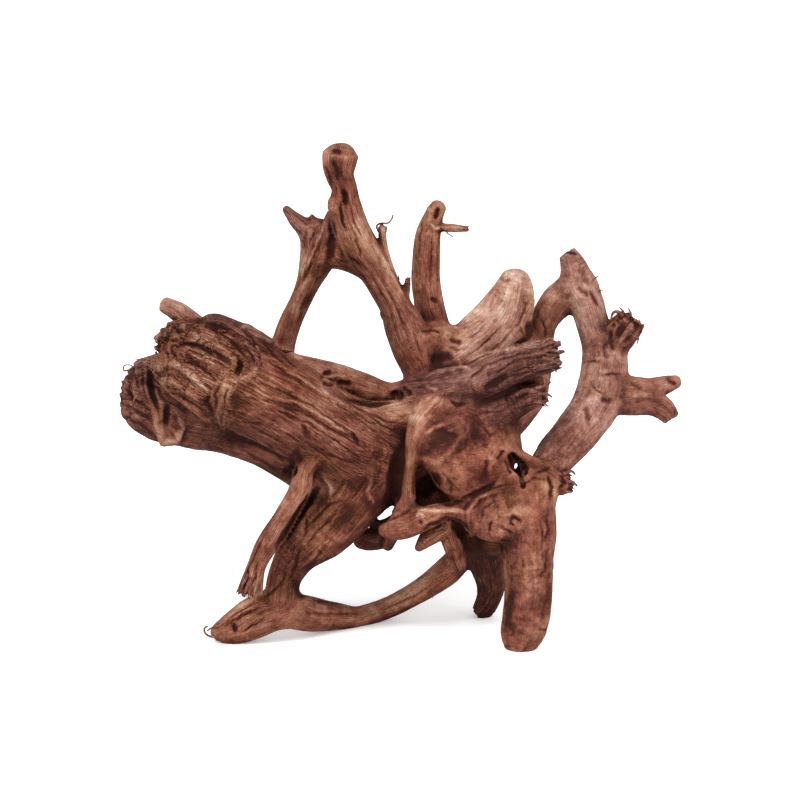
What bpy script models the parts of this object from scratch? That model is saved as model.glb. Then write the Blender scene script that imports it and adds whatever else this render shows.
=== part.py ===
"""Mangrove root: one grown piece of driftwood, a split trunk with many fused and broken limbs.

The limbs are read as an onlooker sees them: across and up on an upright picture in front of the
root, in millimetres, plus the true depth of each point behind the middle of the root. A sight line
turns each into its place in the world. Every limb is a swept body of oval rings, and all of them
grow together in one voxel skin, which is then eased, thinned and set on its feet.
"""

import math

import bmesh
import bpy
from mathutils import Vector

MM = 0.001

# Where the onlooker stands
EYE_DISTANCE = 2200.0
EYE_TILT = math.radians(12.0)
AIM_ACROSS = 5.0
AIM_UP = 245.0
AIM_HEIGHT = 241.0

# Middle of the root's own box, seen from the same place
MIDDLE_ACROSS = 4.4
MIDDLE_DEPTH = -4.5

# How the wood is built up
RING_STEP = 7.0
RING_SIDES = 20
CAP_RINGS = 4
SKIN_VOXEL = 4.0
SKIN_EASING = 3
SKIN_FACES_KEPT = 0.1

# Each limb: name, then its points as across, up, depth, half width, half depth
LIMBS = (
    ("trunk", (
        (-224, 296, -96, 29, 31), (-206, 291, -96, 42, 40), (-185, 285, -92, 51, 46),
        (-150, 270, -78, 50, 48), (-115, 250, -58, 48, 50), (-80, 225, -38, 43, 48),
        (-45, 204, -18, 44, 46), (-10, 190, 6, 40, 38))),
    ("trunk_band", (
        (-62, 238, -26, 14, 16), (-25, 230, -14, 18, 20), (5, 231, -4, 21, 22),
        (38, 238, 0, 25, 24))),
    ("low_stub", (
        (-253, 252, -26, 34, 26), (-236, 244, -28, 41, 28), (-207, 232, -26, 31, 28),
        (-172, 222, -22, 25, 30), (-135, 207, -18, 23, 33), (-100, 191, -14, 25, 36),
        (-65, 168, -10, 30, 38))),
    ("stub_ridge", ((-242, 284, -44, 13, 13), (-262, 278, -36, 12, 11))),
    ("high_twig", (
        (-234, 343, -48, 7, 7), (-222, 337, -50, 8.5, 9), (-208, 325, -54, 10, 11),
        (-190, 312, -62, 13, 14))),
    ("twig_collar", ((-236, 308, -62, 9, 9), (-222, 314, -64, 14, 14), (-203, 314, -72, 16, 16))),
    ("rear_limb", (
        (-110, 283, 10, 14, 18), (-85, 276, 22, 15, 20), (-60, 268, 34, 17, 20),
        (-38, 262, 38, 16, 18), (-10, 255, 38, 11, 15), (15, 260, 30, 13, 16))),
    ("loop_limb", (
        (-117, 288, 38, 11, 13), (-113, 312, 48, 10, 11), (-107, 330, 52, 10, 11),
        (-97, 352, 52, 10.5, 12), (-88, 372, 48, 13.5, 13), (-81, 396, 40, 19, 16),
        (-81, 417, 34, 17.5, 14), (-78, 427, 32, 10, 10))),
    ("loop_prong", ((-92, 420, 32, 11, 10), (-104, 430, 30, 7.5, 7), (-114, 441, 28, 4, 4))),
    ("loop_bridge", ((-80, 396, 40, 14, 13), (-60, 394, 26, 14, 13), (-42, 390, 14, 15, 14))),
    ("tall_limb", (
        (-61, 495, -20, 15, 13), (-61, 486, -19, 18, 15), (-61, 474, -17, 16, 14),
        (-56, 458, -14, 14, 13), (-54, 442, -11, 17.5, 14), (-49, 422, -6, 18, 16),
        (-38, 400, 2, 19.5, 17), (-22, 372, 12, 18, 18), (-6, 345, 20, 17, 19),
        (4, 320, 26, 19.5, 21), (13, 295, 26, 19, 22), (20, 272, 20, 18, 24))),
    ("tall_splinter", (
        (-19, 424, 0, 3.5, 4), (-16, 406, 4, 4.5, 4), (-9, 386, 10, 5, 5), (0, 362, 16, 6, 6))),
    ("short_splinter", ((8, 372, 14, 3, 3), (6, 358, 18, 4, 4), (0, 342, 20, 6, 6))),
    ("second_limb", (
        (38, 443, 84, 8.5, 8), (31, 428, 82, 11, 10), (27.5, 410, 79, 13.5, 12),
        (26.5, 388, 75, 14.5, 13), (26.5, 365, 69, 15, 14), (30, 343, 61, 15, 15),
        (36, 322, 50, 15, 16), (40, 300, 38, 19, 20))),
    ("second_spike", ((34, 423, 80, 4, 4), (52, 422, 77, 4.5, 4), (68, 421, 76, 3, 3))),
    ("crown", ((12, 300, 26, 19, 22), (35, 311, 36, 17, 20), (60, 306, 40, 14, 18))),
    ("pale_stump", (
        (52, 289, 26, 24, 20), (83, 312, 46, 31, 20), (106, 333, 60, 31, 20),
        (115, 355, 70, 20.5, 17), (117, 371, 75, 15, 12))),
    ("shell_limb", (
        (20, 258, 8, 20, 24), (45, 262, -2, 19, 22), (70, 265, -12, 20, 20),
        (100, 277, -22, 20, 16), (130, 289, -30, 17, 13), (148, 294, -34, 14, 11))),
    ("shell_lip", ((95, 236, -14, 18, 18), (125, 250, -28, 13, 12), (142, 253, -34, 11, 10))),
    ("heart", (
        (-25, 205, 28, 40, 36), (20, 215, 34, 44, 38), (58, 208, 30, 40, 36),
        (84, 190, 16, 30, 30))),
    ("rear_stub", (
        (0, 215, 50, 28, 28), (-14, 210, 82, 22, 21), (-22, 204, 106, 17, 17),
        (-26, 200, 118, 13, 13))),
    ("plate", (
        (32, 228, -18, 20, 18), (52, 202, -28, 28, 18), (70, 174, -32, 26, 18),
        (78, 154, -32, 16, 16))),
    ("plate_side", ((62, 232, -12, 24, 20), (90, 215, -12, 26, 22), (103, 192, -12, 18, 20))),
    ("arch_top", ((170, 392, 92, 11, 10), (175, 380, 90, 15, 12), (178, 360, 86, 18, 14))),
    ("arch_inner", (
        (177, 363, 88, 18, 15), (159, 352, 90, 16.5, 14), (145, 332, 92, 14, 13),
        (141, 314, 90, 12.5, 13), (141, 295, 82, 12, 13), (140, 276, 68, 12, 14),
        (134, 254, 48, 12, 15), (122, 238, 28, 13, 17), (109, 226, 10, 15, 18),
        (96, 214, 0, 18, 20))),
    ("arch_outer", (
        (178, 363, 86, 18, 15), (189, 346, 80, 17, 15), (196, 322, 72, 16, 16),
        (204, 298, 62, 23, 17), (205, 275, 52, 24.5, 18), (199, 252, 41, 25, 18),
        (188, 233, 29, 24, 18), (175, 216, 17, 22.5, 18), (159, 197, 2, 21, 18),
        (146, 180, -14, 18, 18), (138, 165, -28, 18, 18))),
    ("knob", ((208, 313, 66, 15, 14), (225, 319, 62, 17.5, 15), (231, 331, 60, 11, 10))),
    ("antler_stem", ((208, 260, 46, 24, 16), (238, 256, 50, 17, 13))),
    ("antler_high", (
        (232, 259, 50, 12, 11), (252, 263, 56, 9.5, 9), (266, 266, 61, 8.5, 8),
        (276, 269, 64, 6.5, 6))),
    ("antler_low", (
        (232, 250, 48, 13, 11), (252, 246, 47, 11.5, 9), (264, 239, 44, 10, 8),
        (270, 232, 43, 7.5, 7))),
    ("lobe", ((80, 132, -42, 17, 18), (100, 136, -48, 29, 24), (122, 144, -46, 32, 26))),
    ("front_leg", (
        (126, 158, -38, 27, 26), (130, 125, -46, 27, 28), (129, 92, -48, 25, 25),
        (129, 62, -45, 23, 22), (127, 36, -42, 24, 21), (124, 14, -40, 21, 18),
        (122, 2, -40, 17, 15))),
    ("ragged_knob", ((145, 168, -30, 13, 12), (160, 166, -28, 12, 11), (169, 168, -26, 8.5, 9))),
    ("back_leg", (
        (78, 118, 16, 20, 20), (86, 92, 40, 19, 18), (91, 70, 56, 16, 16),
        (88, 50, 62, 14, 14), (82, 34, 64, 11, 11))),
    ("left_leg", (
        (-30, 180, -12, 36, 38), (-52, 150, -18, 36, 36), (-81, 121, -22, 34, 31),
        (-103, 95, -23, 23, 24), (-115, 74, -22, 17, 18), (-118, 56, -21, 18, 18))),
    ("foot", (
        (-112, 46, -18, 20, 18), (-138, 37, -19, 23, 19), (-160, 26, -20, 19, 17),
        (-175, 19, -20, 13, 12), (-183, 19, -21, 7, 8))),
    ("floor_root", (
        (-115, 41, -18, 19, 17), (-90, 36, 0, 18, 16), (-65, 34, 20, 14.5, 14),
        (-45, 33, 34, 11, 12), (-28, 37, 44, 11, 11), (-10, 44, 52, 11.5, 11),
        (10, 54, 57, 11.5, 11), (28, 66, 60, 12.5, 12), (44, 80, 58, 14, 13),
        (58, 94, 50, 13, 13), (76, 106, 36, 15, 15))),
    ("prop", (
        (-86, 198, -64, 13, 15), (-97, 180, -70, 10.5, 13), (-101, 160, -72, 11, 11),
        (-112, 140, -70, 10.5, 11), (-126, 120, -66, 11, 10), (-139, 102, -62, 9.5, 9),
        (-146, 85, -58, 9, 8), (-150, 70, -56, 9.5, 8), (-154, 60, -55, 8, 7))),
    ("strap", (
        (20, 222, -42, 9, 12), (12, 205, -54, 6, 9), (12, 185, -56, 5.5, 9),
        (11, 165, -54, 6, 9), (4, 147, -46, 8, 9), (-2, 132, -40, 10, 10))),
    ("hand", (
        (-18, 119, -30, 7, 8), (-5, 122, -34, 11, 11), (12, 125, -38, 13.5, 12),
        (30, 133, -40, 11, 11), (48, 138, -42, 8, 9), (65, 138, -44, 9.5, 11),
        (84, 134, -44, 17, 16))),
    ("under_stub", (
        (10, 150, 14, 18, 18), (-12, 122, 18, 14, 13), (-32, 107, 22, 10.5, 10))),
    ("under_tip", ((-6, 120, 4, 9, 9), (-12, 103, 2, 5.5, 6))),
    ("hook_prong", ((44, 122, -22, 10, 9), (30, 112, -24, 8, 7), (21, 103, -24, 4.5, 4))),
    ("hook_stem", (
        (50, 130, -20, 10, 11), (50, 114, -18, 10, 9), (56, 98, -16, 9, 8),
        (60, 84, -14, 6.5, 7))),
    ("inner_web", ((40, 160, 10, 22, 20), (62, 130, 6, 20, 20), (72, 108, 12, 14, 16))),
    ("hole_rim", ((103, 200, -18, 9, 12), (125, 190, -28, 7, 9), (146, 178, -30, 9, 10))),
    ("hole_post", ((95, 197, -26, 9, 10), (103, 180, -36, 7, 9), (114, 166, -44, 9, 10))),
)


def seen(across, up, depth):
    """The world point, in millimetres, on the sight line through across and up, at that depth."""
    forward = Vector((0.0, math.cos(EYE_TILT), -math.sin(EYE_TILT)))
    upward = Vector((0.0, math.sin(EYE_TILT), math.cos(EYE_TILT)))
    eye = Vector((AIM_ACROSS, 0.0, AIM_HEIGHT)) - forward * EYE_DISTANCE
    ray = forward * EYE_DISTANCE + upward * (up - AIM_UP)
    ray.x += across - AIM_ACROSS
    return eye + ray * ((depth - eye.y) / ray.y) - Vector((MIDDLE_ACROSS, MIDDLE_DEPTH, 0.0))


def eased(before, start, end, after, t):
    """A value on the smooth curve from start to end, which heads for the values either side."""
    return 0.5 * (
        2 * start
        + (end - before) * t
        + (2 * before - 5 * start + 4 * end - after) * t * t
        + (3 * start - before - 3 * end + after) * t * t * t
    )


def stations(points):
    """Centre, half width and half depth along a limb, closely spaced on a smooth curve."""
    placed = [(seen(a, u, d), w, h) for a, u, d, w, h in points]
    placed = [placed[0], *placed, placed[-1]]
    found = []
    for before, start, end, after in zip(placed, placed[1:], placed[2:], placed[3:]):
        steps = max(2, round((end[0] - start[0]).length / RING_STEP))
        for step in range(steps):
            t = step / steps
            found.append(tuple(eased(*values, t) for values in zip(before, start, end, after)))
    found.append(placed[-1])
    return found


def rings(points):
    """The limb's rings, as a centre, two half axes and nothing else, with rounded ends."""
    line = stations(points)
    sight = Vector((0.0, math.cos(EYE_TILT), -math.sin(EYE_TILT)))
    found = []
    for n, (centre, width, depth) in enumerate(line):
        along = (line[min(n + 1, len(line) - 1)][0] - line[max(n - 1, 0)][0]).normalized()
        side = along.cross(sight).normalized()
        found.append((centre, side * width, side.cross(along) * depth, along, width))
    return cap(found[0], -1) + found + cap(found[-1], 1)[::-1]


def cap(ring, way):
    """Shrinking rings past one end of a limb, outermost first, which round it off."""
    centre, side, deep, along, width = ring
    found = []
    for n in range(CAP_RINGS):
        turn = math.radians(84.0) * (CAP_RINGS - n) / CAP_RINGS
        ahead = along * (way * width * 0.8 * math.sin(turn))
        found.append((centre + ahead, side * math.cos(turn), deep * math.cos(turn), along, width))
    return found


def add_limb(mesh, points):
    """Adds one closed, swept limb to the mesh."""
    loops = []
    for centre, side, deep, *_ in rings(points):
        turns = (2 * math.pi * k / RING_SIDES for k in range(RING_SIDES))
        places = [(centre + side * math.cos(a) + deep * math.sin(a)) * MM for a in turns]
        loops.append([mesh.verts.new(p) for p in places])
    for near, far in zip(loops, loops[1:]):
        for k in range(RING_SIDES):
            after = (k + 1) % RING_SIDES
            mesh.faces.new((near[k], near[after], far[after], far[k]))
    mesh.faces.new(loops[0][::-1])
    mesh.faces.new(loops[-1])


def clear_scene():
    for thing in list(bpy.data.objects):
        bpy.data.objects.remove(thing)


def wood():
    """Dry red-brown root wood."""
    material = bpy.data.materials.new("root_wood")
    material.use_nodes = True
    shader = material.node_tree.nodes["Principled BSDF"]
    shader.inputs["Base Color"].default_value = (0.235, 0.098, 0.050, 1.0)
    shader.inputs["Roughness"].default_value = 0.68
    shader.inputs["Metallic"].default_value = 0.0
    return material


def floor_cutter():
    """A block below the floor, which wears the feet flat where they stand."""
    mesh = bpy.data.meshes.new("floor_cutter")
    block = bmesh.new()
    bmesh.ops.create_cube(block, size=1.0)
    bmesh.ops.scale(block, vec=(1.2, 1.2, 0.1), verts=block.verts)
    bmesh.ops.translate(block, vec=(0.0, 0.0, -0.05), verts=block.verts)
    block.to_mesh(mesh)
    block.free()
    cutter = bpy.data.objects.new("floor_cutter", mesh)
    bpy.context.scene.collection.objects.link(cutter)
    cutter.hide_render = True
    cutter.display_type = "WIRE"
    return cutter


def grow_root():
    """Joins the limbs in one skin, eases it and wears its feet flat."""
    limbs = bmesh.new()
    for _, points in LIMBS:
        add_limb(limbs, points)
    bmesh.ops.recalc_face_normals(limbs, faces=limbs.faces)
    mesh = bpy.data.meshes.new("mangrove_root")
    limbs.to_mesh(mesh)
    limbs.free()
    root = bpy.data.objects.new("mangrove_root", mesh)
    bpy.context.scene.collection.objects.link(root)
    skin = root.modifiers.new("skin", "REMESH")
    skin.mode = "VOXEL"
    skin.voxel_size = SKIN_VOXEL * MM
    ease = root.modifiers.new("ease", "SMOOTH")
    ease.factor = 0.5
    ease.iterations = SKIN_EASING
    thin = root.modifiers.new("thin", "DECIMATE")
    thin.ratio = SKIN_FACES_KEPT
    wear = root.modifiers.new("wear", "BOOLEAN")
    wear.operation = "DIFFERENCE"
    wear.object = floor_cutter()
    root.data.materials.append(wood())
    return root


clear_scene()
grow_root()
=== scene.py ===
"""Mangrove root: the look of one dry, gnarled root standing on its own legs.

The limbs are read as an onlooker sees them: across and up on an upright picture in front of the
root, in millimetres, plus the true depth of each point behind the middle of the root. They are
melted together as one body on a fine lattice, hollows are carved out of it, and its skin is then
cut with flutes, cracks, ridges and pits that follow each limb's own grain.
"""

import math
from concurrent.futures import ThreadPoolExecutor

import bpy
import numpy as np
import openvdb as vdb
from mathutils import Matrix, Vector


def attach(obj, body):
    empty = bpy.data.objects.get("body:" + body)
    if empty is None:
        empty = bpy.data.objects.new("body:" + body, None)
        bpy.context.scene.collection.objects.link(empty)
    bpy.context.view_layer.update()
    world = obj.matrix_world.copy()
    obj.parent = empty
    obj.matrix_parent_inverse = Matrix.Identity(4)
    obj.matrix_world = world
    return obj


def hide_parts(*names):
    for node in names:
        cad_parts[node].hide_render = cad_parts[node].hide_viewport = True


MM = 0.001
WORKERS = 4

# The onlooker, as in the part: how far off, looking down how steeply, and at what point
EYE_DISTANCE = 2200.0
EYE_TILT = math.radians(12.0)
AIM_ACROSS = 5.0
AIM_UP = 245.0
AIM_HEIGHT = 241.0
FORWARD = np.array((0.0, math.cos(EYE_TILT), -math.sin(EYE_TILT)))
UPWARD = np.array((0.0, math.sin(EYE_TILT), math.cos(EYE_TILT)))
EYE = np.array((AIM_ACROSS, 0.0, AIM_HEIGHT)) - FORWARD * EYE_DISTANCE

# What the frame has at its origin: the middle of the root's box, on the ground
MIDDLE = np.array((4.4, -4.5, 0.0))

# The lattice's pitch, the air around the limbs on it, and how far off it still tells distances
LATTICE = 1.5
MARGIN = 14.0
FAR = 12.0
FRONT_TRIANGLES = 132000
BACK_TRIANGLES = 58000

# A limb's stations lie no closer than STATION_STEP, nor than STATION_SHARE of its half size, and
# its segments overlap by caps of JOINT_CAP of that half size
STATION_STEP = 4.0
STATION_SHARE = 0.3
JOINT_CAP = 0.9

# An end torn by FULLY_TORN or more has opened into fibres. They change little along the limb, have
# finer ones among them, and the tears stay within TORN_REACH times the limb's half size.
FULLY_TORN = 5.0
FIBRE_STRETCH = 0.12
FINER_FIBRES = 0.45
TORN_REACH = 2.4

# Each limb's grain starts at a place of its own. It fades out over GRAIN_FADE beyond the limb's
# skin, down to a share of GRAIN_LEAST. Limbs that meet keep their grain on different layers.
GRAIN_SHIFT = 211.0
GRAIN_REACH = 12.0
GRAIN_FADE = 3.0
GRAIN_LEAST = 0.02
LAYERS = 4

# Strokes mark what lies no farther than REACH behind the foremost wood. One that is pressed in
# and narrower than FINE opens as a crack, which is felt up to CRACK_REACH to either side. Fine
# strokes press and shade, and wide dark ones shade, by these shares of what their row says. A
# stroke's ends taper. One pressed deeper than STRAIGHT_IN goes straight along the sight.
REACH = 16.0
FINE = 2.7
FINE_PRESS = 0.4
FINE_SHADE = 0.3
WIDE_SHADE = 0.7
CRACK_REACH = 4.0
STROKE_TAPER = 3.2
STROKE_TIP = 0.15
STRAIGHT_IN = 8.0

# How far a crest stands out before it counts in full: among its near neighbours, and more widely.
# The material paints crests paler, as worn wood is, and creases darker, as painted shade.
SMALL_CREST = (3, 0.35)
LARGE_CREST = (14, 1.6)

# How far from the skin the air is felt to tell hollows from open wood, by which the material
# paints shade in the hollows
OPEN_REACHES = (4.0, 8.0, 12.0)

# The squares of the onlooker's picture in which the foremost wood is found
SIGHT_SQUARE = 2.0
SIGHT_SQUARES = 600
SIGHT_CORNER = (240, 80)

# Torn ends fade out between these heights, because splinters would reach through the floor
SPLINTERS_FROM = 11.0
SPLINTERS_FULL = 15.0

# What the grain and the skin's attributes hand to the material
GRAIN_PARTS = ("Streak", "Seam", "Height", "Hue")
MARKS = (
    "tone", "grey", "split", "dark", "crack_side", "crack_open", "grain", "crest", "open", "under"
)

# The wood's colours, from its darkest cracks to its palest ridges
BROWNS = (
    (0.0, (0.022, 0.0070, 0.0055)),
    (0.20, (0.064, 0.017, 0.011)),
    (0.45, (0.185, 0.060, 0.037)),
    (0.65, (0.305, 0.146, 0.096)),
    (0.85, (0.455, 0.292, 0.212)),
    (1.0, (0.600, 0.440, 0.365)),
)
REDS = (
    (0.0, (0.022, 0.0060, 0.0040)),
    (0.20, (0.068, 0.0160, 0.0100)),
    (0.45, (0.195, 0.055, 0.031)),
    (0.65, (0.318, 0.134, 0.080)),
    (0.85, (0.470, 0.275, 0.188)),
    (1.0, (0.610, 0.415, 0.330)),
)
OCHRES = (
    (0.0, (0.022, 0.0080, 0.0040)),
    (0.20, (0.066, 0.0200, 0.0100)),
    (0.45, (0.200, 0.074, 0.038)),
    (0.65, (0.332, 0.166, 0.098)),
    (0.85, (0.490, 0.316, 0.214)),
    (1.0, (0.620, 0.465, 0.365)),
)
GREYS = (
    (0.0, (0.019, 0.0080, 0.0080)),
    (0.20, (0.050, 0.0200, 0.0180)),
    (0.45, (0.130, 0.058, 0.050)),
    (0.65, (0.250, 0.135, 0.118)),
    (0.85, (0.420, 0.275, 0.240)),
    (1.0, (0.580, 0.430, 0.385)),
)
MIDDLE_TONE = 0.41
STREAK_CONTRAST = 0.50
BUMP_DEPTH = 2.4
DRY_SHEEN = 0.05
LOOSE_TONE = 0.36

# Splinters for each square metre of torn skin, their half thickness and their length; the steps
# along a rootlet and how far it kinks
SPLINTER_DENSITY = 9000.0
SPLINTER_THICKNESS = 0.7
SPLINTER_LENGTH = 9.0
ROOTLET_STEP = 1.2
ROOTLET_KINK = 1.5

# The studio's light and camera
WORLD_LIGHT = 0.80
FLOOR_GLOW = 0.22
FLOOR_HALF = 40.0
SOFT_SUNS = (
    ("key", (-0.6, -1.0, 1.6), 2.2, 18),
    ("side", (0.9, -0.6, 1.3), 1.2, 30),
    ("front", (0.2, -1.5, 0.7), 0.9, 50),
)
SENSOR_WIDTH = 36.0
PICTURE_WIDTH = 810.0


def seen(across, up, depth):
    """World points, in millimetres, on the sight lines through across and up, at those depths."""
    across, up, depth = (np.asarray(v, float) for v in (across, up, depth))
    ray = FORWARD * EYE_DISTANCE + UPWARD * (up - AIM_UP)[..., None]
    ray[..., 0] += across - AIM_ACROSS
    reach = (depth - EYE[1]) / ray[..., 1]
    return EYE + ray * reach[..., None] - MIDDLE


def sighted(points):
    """Across, up and distance from the eye for world points in millimetres."""
    ray = points + MIDDLE - EYE
    away = ray @ FORWARD
    return (
        AIM_ACROSS + ray[:, 0] * EYE_DISTANCE / away,
        AIM_UP + (ray @ UPWARD) * EYE_DISTANCE / away,
        away,
    )


def unit(vectors):
    """The vectors at a length of 1."""
    return vectors / np.maximum(np.linalg.norm(vectors, axis=-1, keepdims=True), 1e-9)


# What the noise is made of: a slope for each of 256 kinds of lattice corner, and their order
GRADIENTS = unit(np.random.default_rng(11).normal(size=(256, 3))).astype(np.float32)
SHUFFLE = np.random.default_rng(12).permutation(256)


def noise(points, seed=0):
    """Smooth noise between about -1 and 1 at points of an n by 3 array."""
    cell = np.floor(points).astype(np.int64)
    part = (points - cell).astype(np.float32)
    fade = part * part * part * (part * (part * 6 - 15) + 10)
    total = np.zeros(len(points), np.float32)
    for corner in np.ndindex(2, 2, 2):
        x, y, z = (cell + corner).T
        pick = SHUFFLE[(SHUFFLE[(SHUFFLE[(x + seed) & 255] + y) & 255] + z) & 255]
        lean = ((part - np.array(corner, np.float32)) * GRADIENTS[pick]).sum(1)
        share = np.where(corner, fade, 1 - fade)
        total += lean * share[:, 0] * share[:, 1] * share[:, 2]
    return total * 1.7


def ridged(points, seed=0):
    """Noise with sharp crests: 1 along thin lines, falling to 0 between them."""
    return 1 - np.minimum(np.abs(noise(points, seed)) * 2.2, 1)


def smooth_step(low, high, value):
    """0 up to low, 1 from high on, and a smooth rise between them."""
    t = np.clip((value - low) / (high - low), 0, 1)
    return t * t * (3 - 2 * t)


def eased(before, start, end, after, t):
    """A value on the smooth curve from start to end, which heads for the values either side."""
    return 0.5 * (
        2 * start
        + (end - before) * t
        + (2 * before - 5 * start + 4 * end - after) * t * t
        + (3 * start - before - 3 * end + after) * t * t * t
    )


class Limb:
    """One limb as a chain of oval stations, with its own grain running along it.

    Each point has across, up and depth, then half its size across the sight and along it. An end
    is closed by a cap, blunt times as long as the limb's half size there. A torn end has the depth
    of its tears and the width of its fibres. Blend is how softly the limb melts into the others;
    rough scales its relief, tone and grey shift its colour, and grain is how plain its grain is. A
    low tone on a limb that lies deep in a recess is painted shade.
    """

    def __init__(
        self, name, points, blend=7.0, blunt=0.8, rough=1.0, tone=0.0, grey=0.0, grain=1.0,
        torn_start=(0, 9), torn_end=(0, 9),
    ):
        self.blend = blend
        self.rough = rough
        self.tone = tone
        self.grey = grey
        self.grain = grain
        self.ragged = (torn_start, torn_end)
        rows = np.array(points, float)
        placed = np.column_stack((seen(rows[:, 0], rows[:, 1], rows[:, 2]), rows[:, 3:5]))
        placed = np.vstack((placed[:1], placed, placed[-1:]))
        found = []
        for before, start, end, after in zip(placed, placed[1:], placed[2:], placed[3:]):
            step = max(STATION_STEP, STATION_SHARE * min(start[3], end[3]))
            steps = max(1, round(np.linalg.norm(end[:3] - start[:3]) / step))
            found += [eased(before, start, end, after, n / steps) for n in range(steps)]
        found.append(placed[-1])
        found = np.array(found)
        self.centre, self.width, self.deep = found[:, :3], found[:, 3], found[:, 4]
        self.ahead = unit(np.gradient(self.centre, axis=0))
        self.side = unit(np.cross(self.ahead, FORWARD))
        self.back = np.cross(self.side, self.ahead)
        self.caps = np.full(len(self.centre), JOINT_CAP)
        self.caps[[0, -1]] = blunt
        steps = np.linalg.norm(np.diff(self.centre, axis=0), axis=1)
        self.along = np.concatenate(((0.0,), np.cumsum(steps)))
        self.girth = float(np.sqrt(self.width * self.deep).mean())
        self.seed = sum(map(ord, name)) % 97

    def near(self, n, points):
        """For segment n: distance to the skin, place along, and cross place as parts of its size."""
        start, end = self.centre[n].astype(np.float32), self.centre[n + 1].astype(np.float32)
        span = end - start
        length = float(np.linalg.norm(span))
        off = points - start
        t = off @ (span / length**2)
        kept = np.clip(t, 0, 1)
        side_axis = unit(self.side[n] + self.side[n + 1]).astype(np.float32)
        back_axis = unit(self.back[n] + self.back[n + 1]).astype(np.float32)
        side = off @ side_axis - kept * (span @ side_axis)
        back = off @ back_axis - kept * (span @ back_axis)
        width = self.width[n] + (self.width[n + 1] - self.width[n]) * kept
        deep = self.deep[n] + (self.deep[n + 1] - self.deep[n]) * kept
        over = (t - kept) * length
        reach = np.where(t > 1, self.caps[n + 1] * width, self.caps[n] * width)
        round_off = np.sqrt((side / width) ** 2 + (back / deep) ** 2 + (over / reach) ** 2)
        size = np.sqrt(side**2 + back**2 + over**2)
        outside = size * (1 - 1 / np.maximum(round_off, 0.05))
        outside = np.where(round_off < 0.05, -np.minimum(width, deep), outside)
        return outside, self.along[n] + kept * length, side / width, back / deep

    def torn(self, points):
        """How far points lie beyond the limb's torn ends, whose fibres end at uneven lengths."""
        beyond = np.full(len(points), -FAR, np.float32)
        for end, (length, grain) in ((0, self.ragged[0]), (-1, self.ragged[1])):
            if not length:
                continue
            off = points - self.centre[end]
            over = off @ (self.ahead[end] * (1 if end else -1))
            cross = (off @ self.side[end], off @ self.back[end], over * FIBRE_STRETCH)
            cross = np.column_stack(cross)
            uneven = noise(cross / grain, self.seed)
            uneven = uneven + 0.5 * noise(cross / (grain * FINER_FIBRES), self.seed + 1)
            reach = TORN_REACH * max(self.width[end], self.deep[end])
            near = np.linalg.norm(off, axis=1) < reach
            cut = np.where(near, over - length * uneven, -FAR)
            beyond = np.maximum(beyond, cut)
        return beyond


def lattice():
    """Low corner and counts of the lattice that the wood is built on."""
    spread = [limb.width.max() + MARGIN for limb in WOOD]
    low = np.min([(w.centre - s).min(0) for w, s in zip(WOOD, spread)], axis=0)
    high = np.max([(w.centre + s).max(0) for w, s in zip(WOOD, spread)], axis=0)
    return low, np.ceil((high - low) / LATTICE).astype(int)


def own_field(limb, low, counts):
    """One limb's distance field on its own part of the lattice."""
    boxes = []
    slack = limb.blend + 2.0
    for n in range(len(limb.centre) - 1):
        ends = limb.centre[n : n + 2]
        reach = max(limb.width[n : n + 2].max(), limb.deep[n : n + 2].max()) + slack
        a = np.clip(((ends.min(0) - reach - low) / LATTICE).astype(int), 0, counts)
        b = np.clip(((ends.max(0) + reach - low) / LATTICE).astype(int) + 1, 0, counts)
        boxes.append((a, b))
    start = np.min([a for a, _ in boxes], axis=0)
    stop = np.max([b for _, b in boxes], axis=0)
    own = np.full(stop - start, FAR, np.float32)
    for n, (a, b) in enumerate(boxes):
        axes = []
        for k in range(3):
            spots = low[k] + LATTICE * (np.arange(a[k], b[k]) + 0.5)
            axes.append(spots.astype(np.float32))
        grid = np.stack(np.meshgrid(*axes, indexing="ij"), -1).reshape(-1, 3)
        outside = limb.near(n, grid)[0].reshape(b - a)
        part = tuple(slice(p, q) for p, q in zip(a - start, b - start))
        own[part] = np.minimum(own[part], outside)
    if limb.ragged[0][0] or limb.ragged[1][0]:
        close = np.flatnonzero(own.reshape(-1) < limb.blend)
        grid = np.column_stack(np.unravel_index(close, own.shape)) + start + 0.5
        torn = limb.torn(grid * LATTICE + low)
        flat = own.reshape(-1)
        flat[close] = np.maximum(flat[close], torn)
    return own, tuple(slice(p, q) for p, q in zip(start, stop))


def melt(field, limb, own, part, carve):
    """Melts one limb into the field, or carves it out of the field."""
    old = -field[part] if carve else field[part]
    overlap = np.maximum(limb.blend - np.abs(old - own), 0)
    new = np.minimum(old, own) - overlap**2 / (4 * limb.blend)
    field[part] = -new if carve else new


def skin_of(field, low):
    """Points in millimetres and faces of the field's skin, its largest piece only."""
    grid = vdb.FloatGrid(float(FAR))
    grid.copyFromArray(np.ascontiguousarray(field, np.float32))
    points, quads = grid.convertToQuads(0.0)
    points = points * LATTICE + low + LATTICE * 0.5
    label = np.arange(len(points))
    while True:
        least = label[quads].min(1)
        new = label.copy()
        np.minimum.at(new, quads.reshape(-1), np.repeat(least, 4))
        new = new[new]
        if (new == label).all():
            break
        label = new
    names, sizes = np.unique(label, return_counts=True)
    kept = label == names[sizes.argmax()]
    index = np.cumsum(kept) - 1
    return points[kept], index[quads[kept[quads[:, 0]]]]


def normals_of(points, quads):
    """Each point's outward direction, from the faces around it."""
    first, second, third, fourth = (points[quads[:, corner]] for corner in range(4))
    across = np.cross(third - first, fourth - second)
    total = np.zeros_like(points)
    for corner in range(4):
        np.add.at(total, quads[:, corner], across)
    return unit(total)


def averaged(values, links, count):
    """Each vertex's mean over the vertices it is linked to."""
    total = np.zeros((count,) + values.shape[1:])
    np.add.at(total, links[:, 0], values[links[:, 1]])
    shares = np.bincount(links[:, 0], minlength=count)
    return total / np.maximum(shares, 1).reshape((-1,) + (1,) * (values.ndim - 1))


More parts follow.
